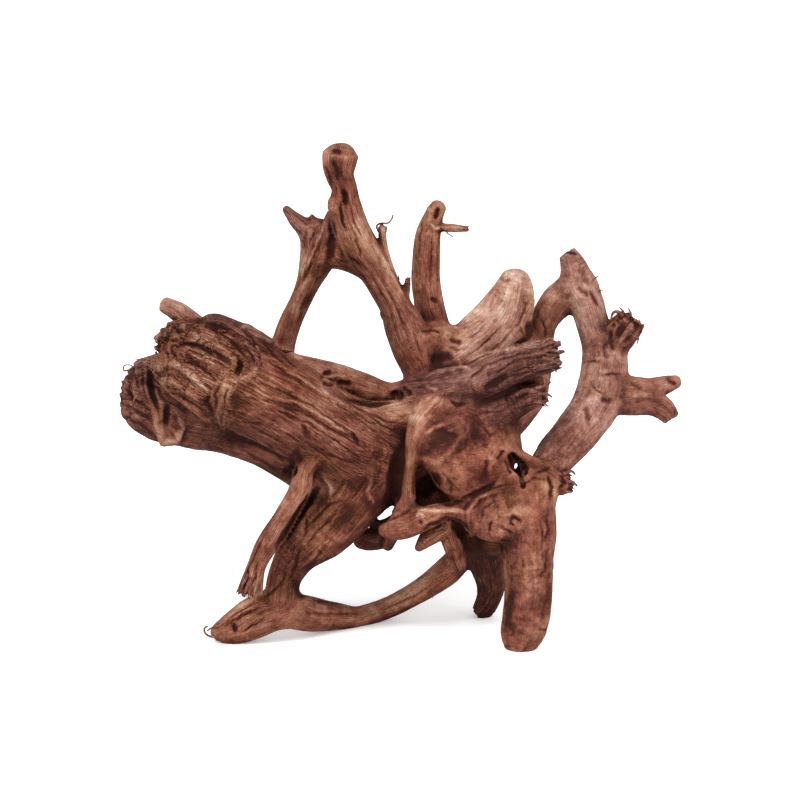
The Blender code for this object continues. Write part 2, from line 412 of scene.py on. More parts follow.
def grain_places(limb, points):
    """Which points one limb reaches, how strongly, and their place in its grain."""
    reach = max(limb.width.max(), limb.deep.max()) + GRAIN_REACH
    box = ((points > limb.centre.min(0) - reach) & (points < limb.centre.max(0) + reach)).all(1)
    near = np.flatnonzero(box)
    best = np.full(len(near), 1e9)
    place = np.zeros((len(near), 3))
    for n in range(len(limb.centre) - 1):
        middle = limb.centre[n : n + 2].mean(0)
        pick = np.flatnonzero(((points[near] - middle) ** 2).sum(1) < (reach + 8.0) ** 2)
        if not len(pick):
            continue
        outside, along, side, back = limb.near(n, points[near[pick]])
        closer = outside < best[pick]
        pick = pick[closer]
        best[pick] = outside[closer]
        place[pick] = np.column_stack((side, back, along))[closer]
    hold = np.exp(-np.clip(best + 1.0, 0, None) / GRAIN_FADE)
    good = hold > GRAIN_LEAST
    place[:, :2] *= limb.girth
    place[:, 2] += GRAIN_SHIFT * limb.seed
    return near[good], hold[good], place[good]


def flow(points, pool):
    """What grain_places says of every limb."""
    return list(pool.map(lambda limb: grain_places(limb, points), WOOD))


def splitting(limb, along):
    """How far the limb's ends have opened into fibres: 1 at a torn end, 0 well inside."""
    start, end = (length for length, _ in limb.ragged)
    length = limb.along[-1]
    reach = 2.2 * limb.girth + 12.0
    first = (1 - smooth_step(0, reach, along)) * min(1.0, start / FULLY_TORN)
    last = smooth_step(length - reach, length, along) * min(1.0, end / FULLY_TORN)
    return np.maximum(first, last)


def flutes(limb, place):
    """How far the skin stands out, in millimetres, from the limb's own grain.

    Each noise is stretched along the limb: its first two sizes lie across the limb, the third
    along it.
    """
    size = min(1.0, limb.girth / 18.0)
    split = splitting(limb, place[:, 2] - GRAIN_SHIFT * limb.seed)
    bent = place.copy()
    bent[:, 0] += 6.0 * noise(place / (34.0, 34.0, 70.0), limb.seed + 5)
    bent[:, 1] += 6.0 * noise(place / (34.0, 34.0, 70.0), limb.seed + 6)
    mood = 0.5 + 0.5 * noise(place / (38.0, 38.0, 70.0), limb.seed + 3)
    lump = noise(place / (24.0, 24.0, 38.0), limb.seed + 1)
    broad = noise(bent / (13.0, 13.0, 90.0), limb.seed + 7)
    fine = noise(bent / (5.2, 5.2, 60.0), limb.seed + 8)
    thread = noise(bent / (3.2, 3.2, 40.0), limb.seed + 11)
    groove = ridged(bent / (9.0, 9.0, 80.0), limb.seed + 9) ** 6
    crack = ridged(bent / (17.0, 17.0, 110.0), limb.seed + 10) ** 14
    knot = smooth_step(0.55, 0.95, noise(place / (15.0, 15.0, 19.0), limb.seed + 12))
    layer = 2.2 * noise(bent / (19.0, 19.0, 150.0), limb.seed + 14)
    plank = (layer - np.floor(layer)) - 0.5
    return limb.rough * (
        1.5 * size * lump
        + (0.9 + 1.0 * split) * size * broad
        + (0.15 + 0.20 * mood + 0.4 * split) * fine
        + (0.12 + 0.15 * mood + 0.3 * split) * thread
        - (0.1 + 0.25 * mood + 0.9 * split) * groove * (0.4 + 0.6 * size)
        - (0.5 * mood + 1.2 * split) * crack * size
        + (0.3 * mood + 2.6 * split) * size * plank
        + 0.7 * (1 - limb.grain) * noise(place / 6.5, limb.seed + 15)
        + 0.6 * size * knot * np.sin(9.0 * noise(place / 9.0, limb.seed + 13))
    )


# The limbs: Limb says what each number is. The low tones of back_leg, under_stub, under_tip,
# inner_web, under_web, leg_web, plank_back, window_back, groove_back and stump_back, which lie
# in shadow behind other limbs, are painted shade.
WOOD = (
    Limb("trunk", (
        (-232, 297, -74, 27, 28), (-210, 292, -80, 38, 36), (-187, 282, -84, 44, 42),
        (-150, 263, -76, 44.5, 47), (-115, 245, -58, 44.5, 49), (-80, 224, -38, 42, 48),
        (-45, 204, -18, 44, 46), (-10, 190, 6, 40, 38),
    ), blend=8, blunt=1.1, rough=1.1, tone=-0.15, torn_start=(9, 6)),
    Limb("trunk_band", (
        (-62, 238, -26, 14, 16), (-25, 230, -14, 18, 20), (5, 231, -4, 21, 22), (38, 238, 0, 25, 24),
    ), rough=0.9),
    Limb("low_stub", (
        (-272, 262, -24, 17, 20), (-261, 259, -26, 26.5, 26), (-244, 250, -28, 37, 28),
        (-226, 242, -28, 37, 28), (-207, 231, -26, 30, 28), (-172, 221, -22, 25.5, 30),
        (-135, 206, -18, 24, 33), (-100, 189, -14, 27, 36), (-65, 168, -10, 30, 38),
    ), blunt=0.5, rough=0.8, tone=-0.28, grey=0.45, grain=0.6, torn_start=(3, 5)),
    Limb("stub_ridge", (
        (-243, 284, -46, 12, 13), (-260, 277, -38, 12, 11),
    ), blend=4, rough=1.2, tone=-0.4, grey=0.7, torn_end=(4, 4)),
    Limb("high_twig", (
        (-235, 345, -48, 8, 8), (-222, 338.5, -50, 9.6, 9), (-208, 327, -54, 10.5, 11),
        (-190, 312, -62, 12, 13),
    ), blend=4, blunt=0.7, rough=1, tone=-0.1, grey=0.5, grain=0.7),
    Limb("twig_collar", (
        (-238, 304, -58, 12, 12), (-222, 315, -60, 12, 14), (-203, 308, -70, 13, 15),
    ), blend=4, blunt=0.8, rough=1.1, torn_start=(3, 5)),
    Limb("rear_limb", (
        (-110, 283, 10, 14, 18), (-85, 277, 22, 15, 20), (-60, 269, 34, 16.5, 20), (-38, 262, 38, 16, 18),
        (-10, 255, 38, 12, 15), (15, 261, 30, 13, 16),
    ), rough=0.7, tone=0.1, grain=0.7),
    Limb("loop_limb", (
        (-119.5, 288, 38, 13.5, 13), (-115, 312, 48, 12, 11), (-109, 330, 52, 11.5, 11),
        (-99, 352, 52, 11, 12), (-90, 372, 48, 13, 13), (-82, 396, 40, 18.5, 16),
        (-81, 414, 34, 17.5, 14), (-80, 421, 32, 11, 10),
    ), rough=1.1, tone=-0.05),
    Limb("loop_prong", (
        (-92, 420, 32, 11, 10), (-104, 430, 30, 7.5, 7), (-114, 441, 28, 4, 4),
    ), rough=1.2, tone=-0.5, grey=0.6),
    Limb("loop_bridge", (
        (-80, 396, 40, 14, 13), (-60, 394, 26, 14, 13), (-42, 390, 14, 15, 14),
    ), rough=1.3),
    Limb("tall_limb", (
        (-59.8, 495.5, -20, 17.8, 14), (-61, 486, -19, 16.3, 13.5), (-60.5, 475, -17, 13.5, 13),
        (-56, 462, -14, 12.7, 13), (-55.5, 450, -12, 14.8, 14), (-54.5, 440, -10, 16.6, 15),
        (-49, 424, -6, 17.5, 16), (-39, 402, 2, 18, 17), (-21.5, 372, 12, 15.3, 18),
        (-5.5, 345, 20, 15.7, 19), (5, 321, 26, 20.5, 21), (15.5, 296, 26, 20, 22), (22, 272, 20, 17, 24),
    ), blunt=0.35, rough=0.75, tone=-0.05, grey=0.1, grain=0.75),
    Limb("tall_splinter", (
        (-18, 424, 0, 4, 4), (-17, 408, 4, 4, 4), (-12, 388, 10, 4.2, 5), (-4, 366, 16, 4.5, 6),
        (6, 346, 20, 5, 6),
    ), blend=3, rough=0.5, tone=0.4, torn_start=(3, 3)),
    Limb("short_splinter", (
        (8, 372, 14, 3, 3), (6, 358, 18, 4, 4), (0, 342, 20, 6, 6),
    ), blend=4, rough=0.5, tone=-0.5, grey=0.5, torn_start=(4, 3)),
    Limb("second_limb", (
        (38, 443, 84, 8.5, 8), (31, 428, 82, 11, 10), (27.5, 410, 79, 13.5, 12),
        (26.5, 388, 75, 14.5, 13), (26.5, 365, 69, 15, 14), (30, 343, 61, 15, 15), (36, 322, 50, 15, 16),
        (40, 300, 38, 19, 20),
    ), rough=0.9, tone=-0.25, grain=0.7),
    Limb("second_spike", (
        (34, 423, 80, 4, 4), (52, 422, 77, 4.5, 4), (68, 421, 76, 3, 3),
    ), blend=3, rough=0.5, tone=0.1, torn_end=(4, 3)),
    Limb("crown", (
        (12, 300, 26, 19, 22), (35, 311, 36, 17, 20), (60, 306, 40, 14, 18),
    ), rough=1.1, tone=0.3, grain=0.4),
    Limb("pale_stump", (
        (51, 286, 26, 23, 20), (81, 308, 46, 29.8, 20), (102.5, 331, 60, 29, 20), (113, 356, 70, 22, 17),
        (114.5, 370, 75, 15.8, 12),
    ), blunt=0.4, rough=0.8, tone=0.68, grey=0.35, grain=0.55),
    Limb("shell_limb", (
        (20, 258, 8, 20, 24), (45, 262, -2, 19, 22), (70, 265, -12, 20, 20), (100, 277, -22, 20, 16),
        (130, 289, -30, 17, 13), (156, 295, -34, 14.5, 11),
    ), blunt=1.1, rough=0.9, tone=-0.3, grey=0.7, torn_end=(9, 4), grain=0.6),
    Limb("shell_lip", (
        (95, 236, -14, 18, 18), (125, 250, -28, 13, 12), (144, 254, -34, 11, 10),
    ), blend=4, blunt=1.1, rough=0.9, tone=-0.35, grey=0.6, torn_end=(6, 4), grain=0.4),
    Limb("heart", (
        (-25, 205, 28, 40, 36), (20, 215, 34, 44, 38), (58, 208, 30, 40, 36), (84, 190, 16, 30, 30),
    ), rough=0.7, grain=0.5),
    Limb("rear_stub", (
        (0, 215, 50, 28, 28), (-14, 210, 82, 22, 21), (-22, 204, 106, 17, 17), (-26, 200, 118, 13, 13),
    ), blunt=1, rough=1.3, tone=-0.1, grey=0.2, torn_end=(9, 6)),
    Limb("plate", (
        (24, 197, -36, 9, 12), (40, 190, -38, 17, 15), (58, 184, -38, 25, 17), (78, 186, -32, 27, 20),
        (98, 202, -18, 22, 20),
    ), blend=12, rough=0.55, tone=0, grey=0.1, grain=0.2),
    Limb("plate_side", (
        (50, 236, -14, 20, 20), (70, 230, -12, 24, 20), (92, 215, -10, 26, 22), (103, 192, -12, 18, 20),
    ), blend=12, rough=0.6, tone=-0.05, grey=0.1, grain=0.25),
    Limb("arch_top", (
        (166.5, 397, 92, 9, 9), (171.5, 388, 90, 12.3, 11), (175.5, 376, 88, 16, 13),
        (178.5, 362, 86, 19.5, 14),
    ), blunt=0.35, rough=0.6, tone=0.4, grey=0.6, grain=0.35, torn_start=(1.5, 4)),
    Limb("arch_inner", (
        (178, 357, 88, 21, 15), (159.8, 350.5, 90, 18.5, 14), (145, 331.5, 92, 15, 13),
        (140, 314, 90, 14, 13), (139, 295, 82, 13, 13), (139, 276, 68, 12.5, 14), (134, 254, 48, 13, 15),
        (122, 238, 28, 14, 17), (109, 226, 10, 16, 18), (96, 214, 0, 18, 20),
    ), rough=0.6, tone=0, grey=0.25, grain=0.4),
    Limb("arch_outer", (
        (179, 362, 86, 19.5, 15), (187.5, 345, 80, 18, 15), (193.5, 323, 72, 17.5, 16),
        (204, 298, 62, 23, 17), (204, 275, 52, 24.8, 18), (198.5, 252, 41, 25, 18),
        (187.5, 233, 29, 23.5, 18), (175, 216, 17, 22.5, 18), (159, 197, 2, 21, 18),
        (146, 180, -14, 18, 18), (138, 165, -28, 18, 18),
    ), rough=0.8, tone=0.25, grey=0.6, grain=0.35),
    Limb("knob", (
        (212, 307, 64, 19, 15), (223, 320, 62, 17, 15), (231.5, 332, 60, 13.5, 11),
    ), blend=4, blunt=1, rough=1.2, tone=-0.2, grey=0.3, grain=0.4, torn_end=(4, 3.5)),
    Limb("antler_stem", (
        (208, 256, 46, 23, 16), (238, 254, 50, 17.5, 13),
    ), blend=5, rough=0.8, tone=-0.05, grey=0.4, grain=0.35),
    Limb("antler_high", (
        (232, 258, 50, 13, 11), (252, 261, 56, 11.5, 9), (265, 265, 61, 9.5, 8), (276, 268.5, 64, 7, 6),
    ), rough=0.5, grey=0.4, grain=0.4),
    Limb("antler_low", (
        (232, 250, 48, 14, 11), (252, 247, 47, 13, 9), (264, 241, 44, 12, 8), (271.5, 231.5, 43, 9, 7),
    ), blunt=0.8, rough=0.6, tone=-0.25, grey=0.5, grain=0.4, torn_end=(2, 3)),
    Limb("lobe", (
        (80, 132, -42, 18, 18), (100, 136, -48, 29, 22), (122, 144, -46, 32, 26),
    ), blend=14, rough=0.7, tone=0, grey=0.1, grain=0.2),
    Limb("front_leg", (
        (126, 158, -38, 27, 26), (130, 125, -46, 26.5, 28), (128.5, 92, -48, 25, 25),
        (128.5, 62, -45, 23.5, 22), (126.5, 36, -42, 24, 21), (122.5, 18, -40, 22, 18),
        (119.5, 5, -40, 15, 15),
    ), rough=0.6, tone=-0.33, grey=0.2, grain=0.15),
    Limb("ragged_knob", (
        (145, 168, -30, 13, 12), (160, 166, -28, 12, 11), (171, 168, -26, 8.5, 9),
    ), blend=4, blunt=1, rough=1.4, tone=-0.2, torn_end=(5, 3.5), grain=0.4),
    # Its dark tone is painted shade: it stands in shadow behind the other limbs
    Limb("back_leg", (
        (78, 118, 16, 20, 20), (86, 92, 40, 19, 18), (91, 70, 56, 16, 16), (90, 54, 62, 13.5, 14),
        (84, 41, 64, 11.5, 11), (77, 36, 65, 7.5, 8),
    ), rough=1, tone=-0.9, grey=0.2, torn_end=(2, 2)),
    Limb("left_leg", (
        (-30, 180, -12, 36, 38), (-50, 152, -18, 34, 36), (-79, 123, -22, 33, 30),
        (-103, 96, -23, 21.5, 23), (-115, 74, -22, 17.5, 18), (-118, 56, -21, 17.5, 18),
    ), rough=0.8, tone=-0.6, grain=0.7),
    Limb("foot", (
        (-112, 45, -18, 19, 18), (-138, 36, -19, 22, 19), (-160, 25, -20, 18.5, 17),
        (-175, 18.5, -20, 12.8, 12), (-184, 18, -21, 7, 8),
    ), rough=0.6, tone=-0.05, grain=0.75),
    Limb("floor_root", (
        (-115, 41, -18, 19, 17), (-90, 36, 0, 18, 16), (-65, 34, 20, 14.5, 14), (-45, 33, 34, 11, 12),
        (-28, 37, 44, 11, 11), (-10, 43.5, 52, 11.3, 11), (10, 53.5, 57, 12, 11),
        (30, 65.5, 60, 13.3, 12), (47, 79, 58, 14.8, 13), (61, 93, 50, 14, 13), (78, 105, 36, 15, 15),
    ), rough=0.6, tone=-0.15, grain=0.5),
    Limb("prop", (
        (-86, 198, -64, 13, 15), (-96, 180, -70, 10, 13), (-100, 160, -72, 10.5, 11),
        (-111, 140, -70, 10.5, 11), (-123.5, 120, -66, 11.5, 10), (-135, 102, -62, 11, 9),
        (-143, 85, -58, 9.3, 8), (-147.5, 70, -56, 11, 8), (-150.5, 56, -55, 13.5, 7),
    ), blend=5, rough=0.6, tone=-0.05, grain=0.8, torn_end=(7, 3)),
    Limb("strap", (
        (34, 240, -22, 14, 13), (23, 228, -32, 13, 12), (15, 213, -42, 8.5, 11), (12, 198, -46, 6, 10),
        (9.5, 180, -47, 5, 9), (8, 164, -45, 6, 9), (6, 149, -39, 9, 9), (4, 136, -36, 11, 9),
    ), blend=13, rough=0.4, tone=0.05, grain=0.6),
    Limb("hand", (
        (-15, 120, -32, 7, 9), (-4, 122, -36, 12.5, 12), (10, 125, -38, 12.5, 12),
        (24, 131, -40, 11.5, 11), (40, 137, -41, 9.5, 10), (58, 139, -43, 9, 10), (84, 134, -44, 17, 16),
    ), blend=9, rough=0.7, tone=0.15, grain=0.4),
    # The under stub and its tip sit in a shaded recess; their dark tone is painted shade
    Limb("under_stub", (
        (10, 150, 14, 18, 18), (-12, 117, 18, 12, 13), (-30, 111, 22, 11.5, 10), (-40, 111, 24, 9, 8),
    ), rough=0.9, tone=-0.9, grey=0.3),
    Limb("under_tip", ((-6, 120, 4, 9, 9), (-12, 103, 2, 5.5, 6)), blend=4, tone=-0.9, grey=0.3),
    Limb("hook_prong", (
        (44, 122, -22, 10, 9), (29, 113, -24, 9.5, 8), (18.5, 102, -24, 4.5, 4),
    ), blend=4, rough=1, tone=-0.3),
    Limb("hook_stem", (
        (50, 130, -20, 10, 11), (50, 114, -18, 10, 9), (56, 96, -16, 9.5, 8), (61, 82, -14, 7, 7),
    ), blend=4, rough=1, tone=-0.2, torn_end=(3, 3)),
    # A web deep in a recess; its dark tone is painted shade
    Limb("inner_web", ((40, 160, 10, 22, 20), (62, 130, 6, 20, 20), (72, 108, 12, 14, 16)), tone=-0.6),
    Limb("hole_rim", (
        (103, 200, -18, 9, 12), (125, 190, -28, 7, 9), (146, 178, -30, 9, 10),
    ), blend=4, rough=0.8, grain=0.5),
    Limb("hole_post", (
        (95, 197, -26, 9, 10), (103, 180, -36, 7, 9), (114, 166, -44, 9, 10),
    ), blend=4, rough=0.8, grain=0.5),
    Limb("strap_back", ((2, 192, 34, 22, 20), (22, 172, 40, 24, 20), (34, 150, 38, 20, 18)), tone=-0.1),
    # A web deep behind the hand; its dark tone is painted shade
    Limb("under_web", ((-50, 150, 20, 18, 16), (-20, 142, 26, 18, 16), (6, 150, 26, 16, 16)), tone=-0.8),
    # The back of the plank's hollow; its dark tone is painted shade
    Limb("plank_back", (
        (92, 248, 6, 18, 12), (118, 264, 2, 15, 10), (136, 268, -4, 10, 8),
    ), tone=-0.5, grey=0.5),
    # The back of the window; its dark tone is painted shade
    Limb("window_back", (
        (100, 192, 14, 16, 12), (118, 184, 12, 13, 12), (134, 178, 6, 12, 12),
    ), tone=-0.5),
    Limb("cap_ridge", (
        (-194, 323, -84, 9, 12), (-184, 326, -84, 10, 13), (-162, 317, -78, 11.5, 14),
        (-138, 303, -70, 12.5, 14),
    ), blend=3, rough=0.9, tone=-0.6, grey=0.7, torn_start=(2, 5)),
    Limb("fibre_curtain", (
        (-245, 291, -70, 8, 10), (-232, 275, -84, 10, 11), (-220, 262, -92, 10, 11),
        (-203, 248, -98, 10, 11), (-190, 236, -98, 8, 9),
    ), blend=4, rough=1.1, tone=0.25, torn_start=(6, 4)),
    Limb("tooth", (
        (-163, 281, -106, 9, 9), (-170, 266, -110, 12, 9), (-174, 250, -110, 11.5, 9),
        (-178, 232, -105, 8, 7),
    ), blend=12, rough=1.5, tone=0.1, grey=0.45, grain=0.9, torn_end=(9, 3)),
    Limb("bowl_floor", (
        (24, 212, -38, 13, 10), (40, 214, -38, 17, 10), (58, 222, -35, 15, 11),
    ), blend=10, rough=0.4, tone=-0.35, grey=0.3, grain=0.3),
    Limb("stub_nub", (
        (-242, 244, -48, 8, 9), (-237, 228, -48, 11, 10), (-228, 217, -48, 11, 10),
    ), blend=7, rough=0.8, tone=-0.2, grey=0.3, grain=0.6),
    # Backs of a groove and of the hollow behind the pale stump; their dark tones are painted shade
    Limb("groove_back", ((56, 158, -12, 14, 12), (84, 166, -8, 14, 12)), tone=-0.8),
    Limb("stump_back", ((116, 322, 62, 13, 12), (128, 304, 52, 14, 14)), tone=-0.6),
    Limb("loop_peak", (
        (-84, 414, 32, 8, 8), (-87, 428, 31, 4.5, 5), (-88, 435, 31, 1.6, 2),
    ), blend=3, rough=1.2, tone=-0.5, grey=0.4),
    Limb("loop_crest", (
        (-75, 412, 30, 8, 8), (-72, 428, 26, 5.5, 7), (-71, 438, 24, 1.8, 3),
    ), blend=3, rough=1.2, tone=-0.5, grey=0.4),
    Limb("hip", (
        (98, 160, -50, 13, 13), (124, 166, -48, 16, 15), (146, 160, -42, 13, 14),
    ), blend=12, rough=0.6, tone=-0.05, grain=0.2),
    Limb("plate_foot", (
        (52, 176, -38, 17, 14), (64, 164, -39, 15, 13), (80, 161, -41, 12, 11),
    ), blend=10, rough=0.5, tone=0, grain=0.2),
    # A web between the legs; its dark tone is painted shade
    Limb("leg_web", ((90, 110, 6, 16, 14), (108, 106, -20, 12, 14)), tone=-0.8),
)

# What is carved out of them, deep along the sight
HOLLOWS = (
    Limb("hand_slit", ((-24, 129, 0, 2.6, 90), (-15, 134, 0, 4.2, 90), (-7, 141, 0, 2.6, 90)), blend=2),
    Limb("window_slit", ((115, 189, 0, 2.2, 90), (117, 179, 0, 2.4, 90)), blend=1),
    Limb("window", ((113, 192, -40, 5, 18), (119, 182, -40, 8, 20), (124, 173, -40, 6, 16)), blend=4),
)
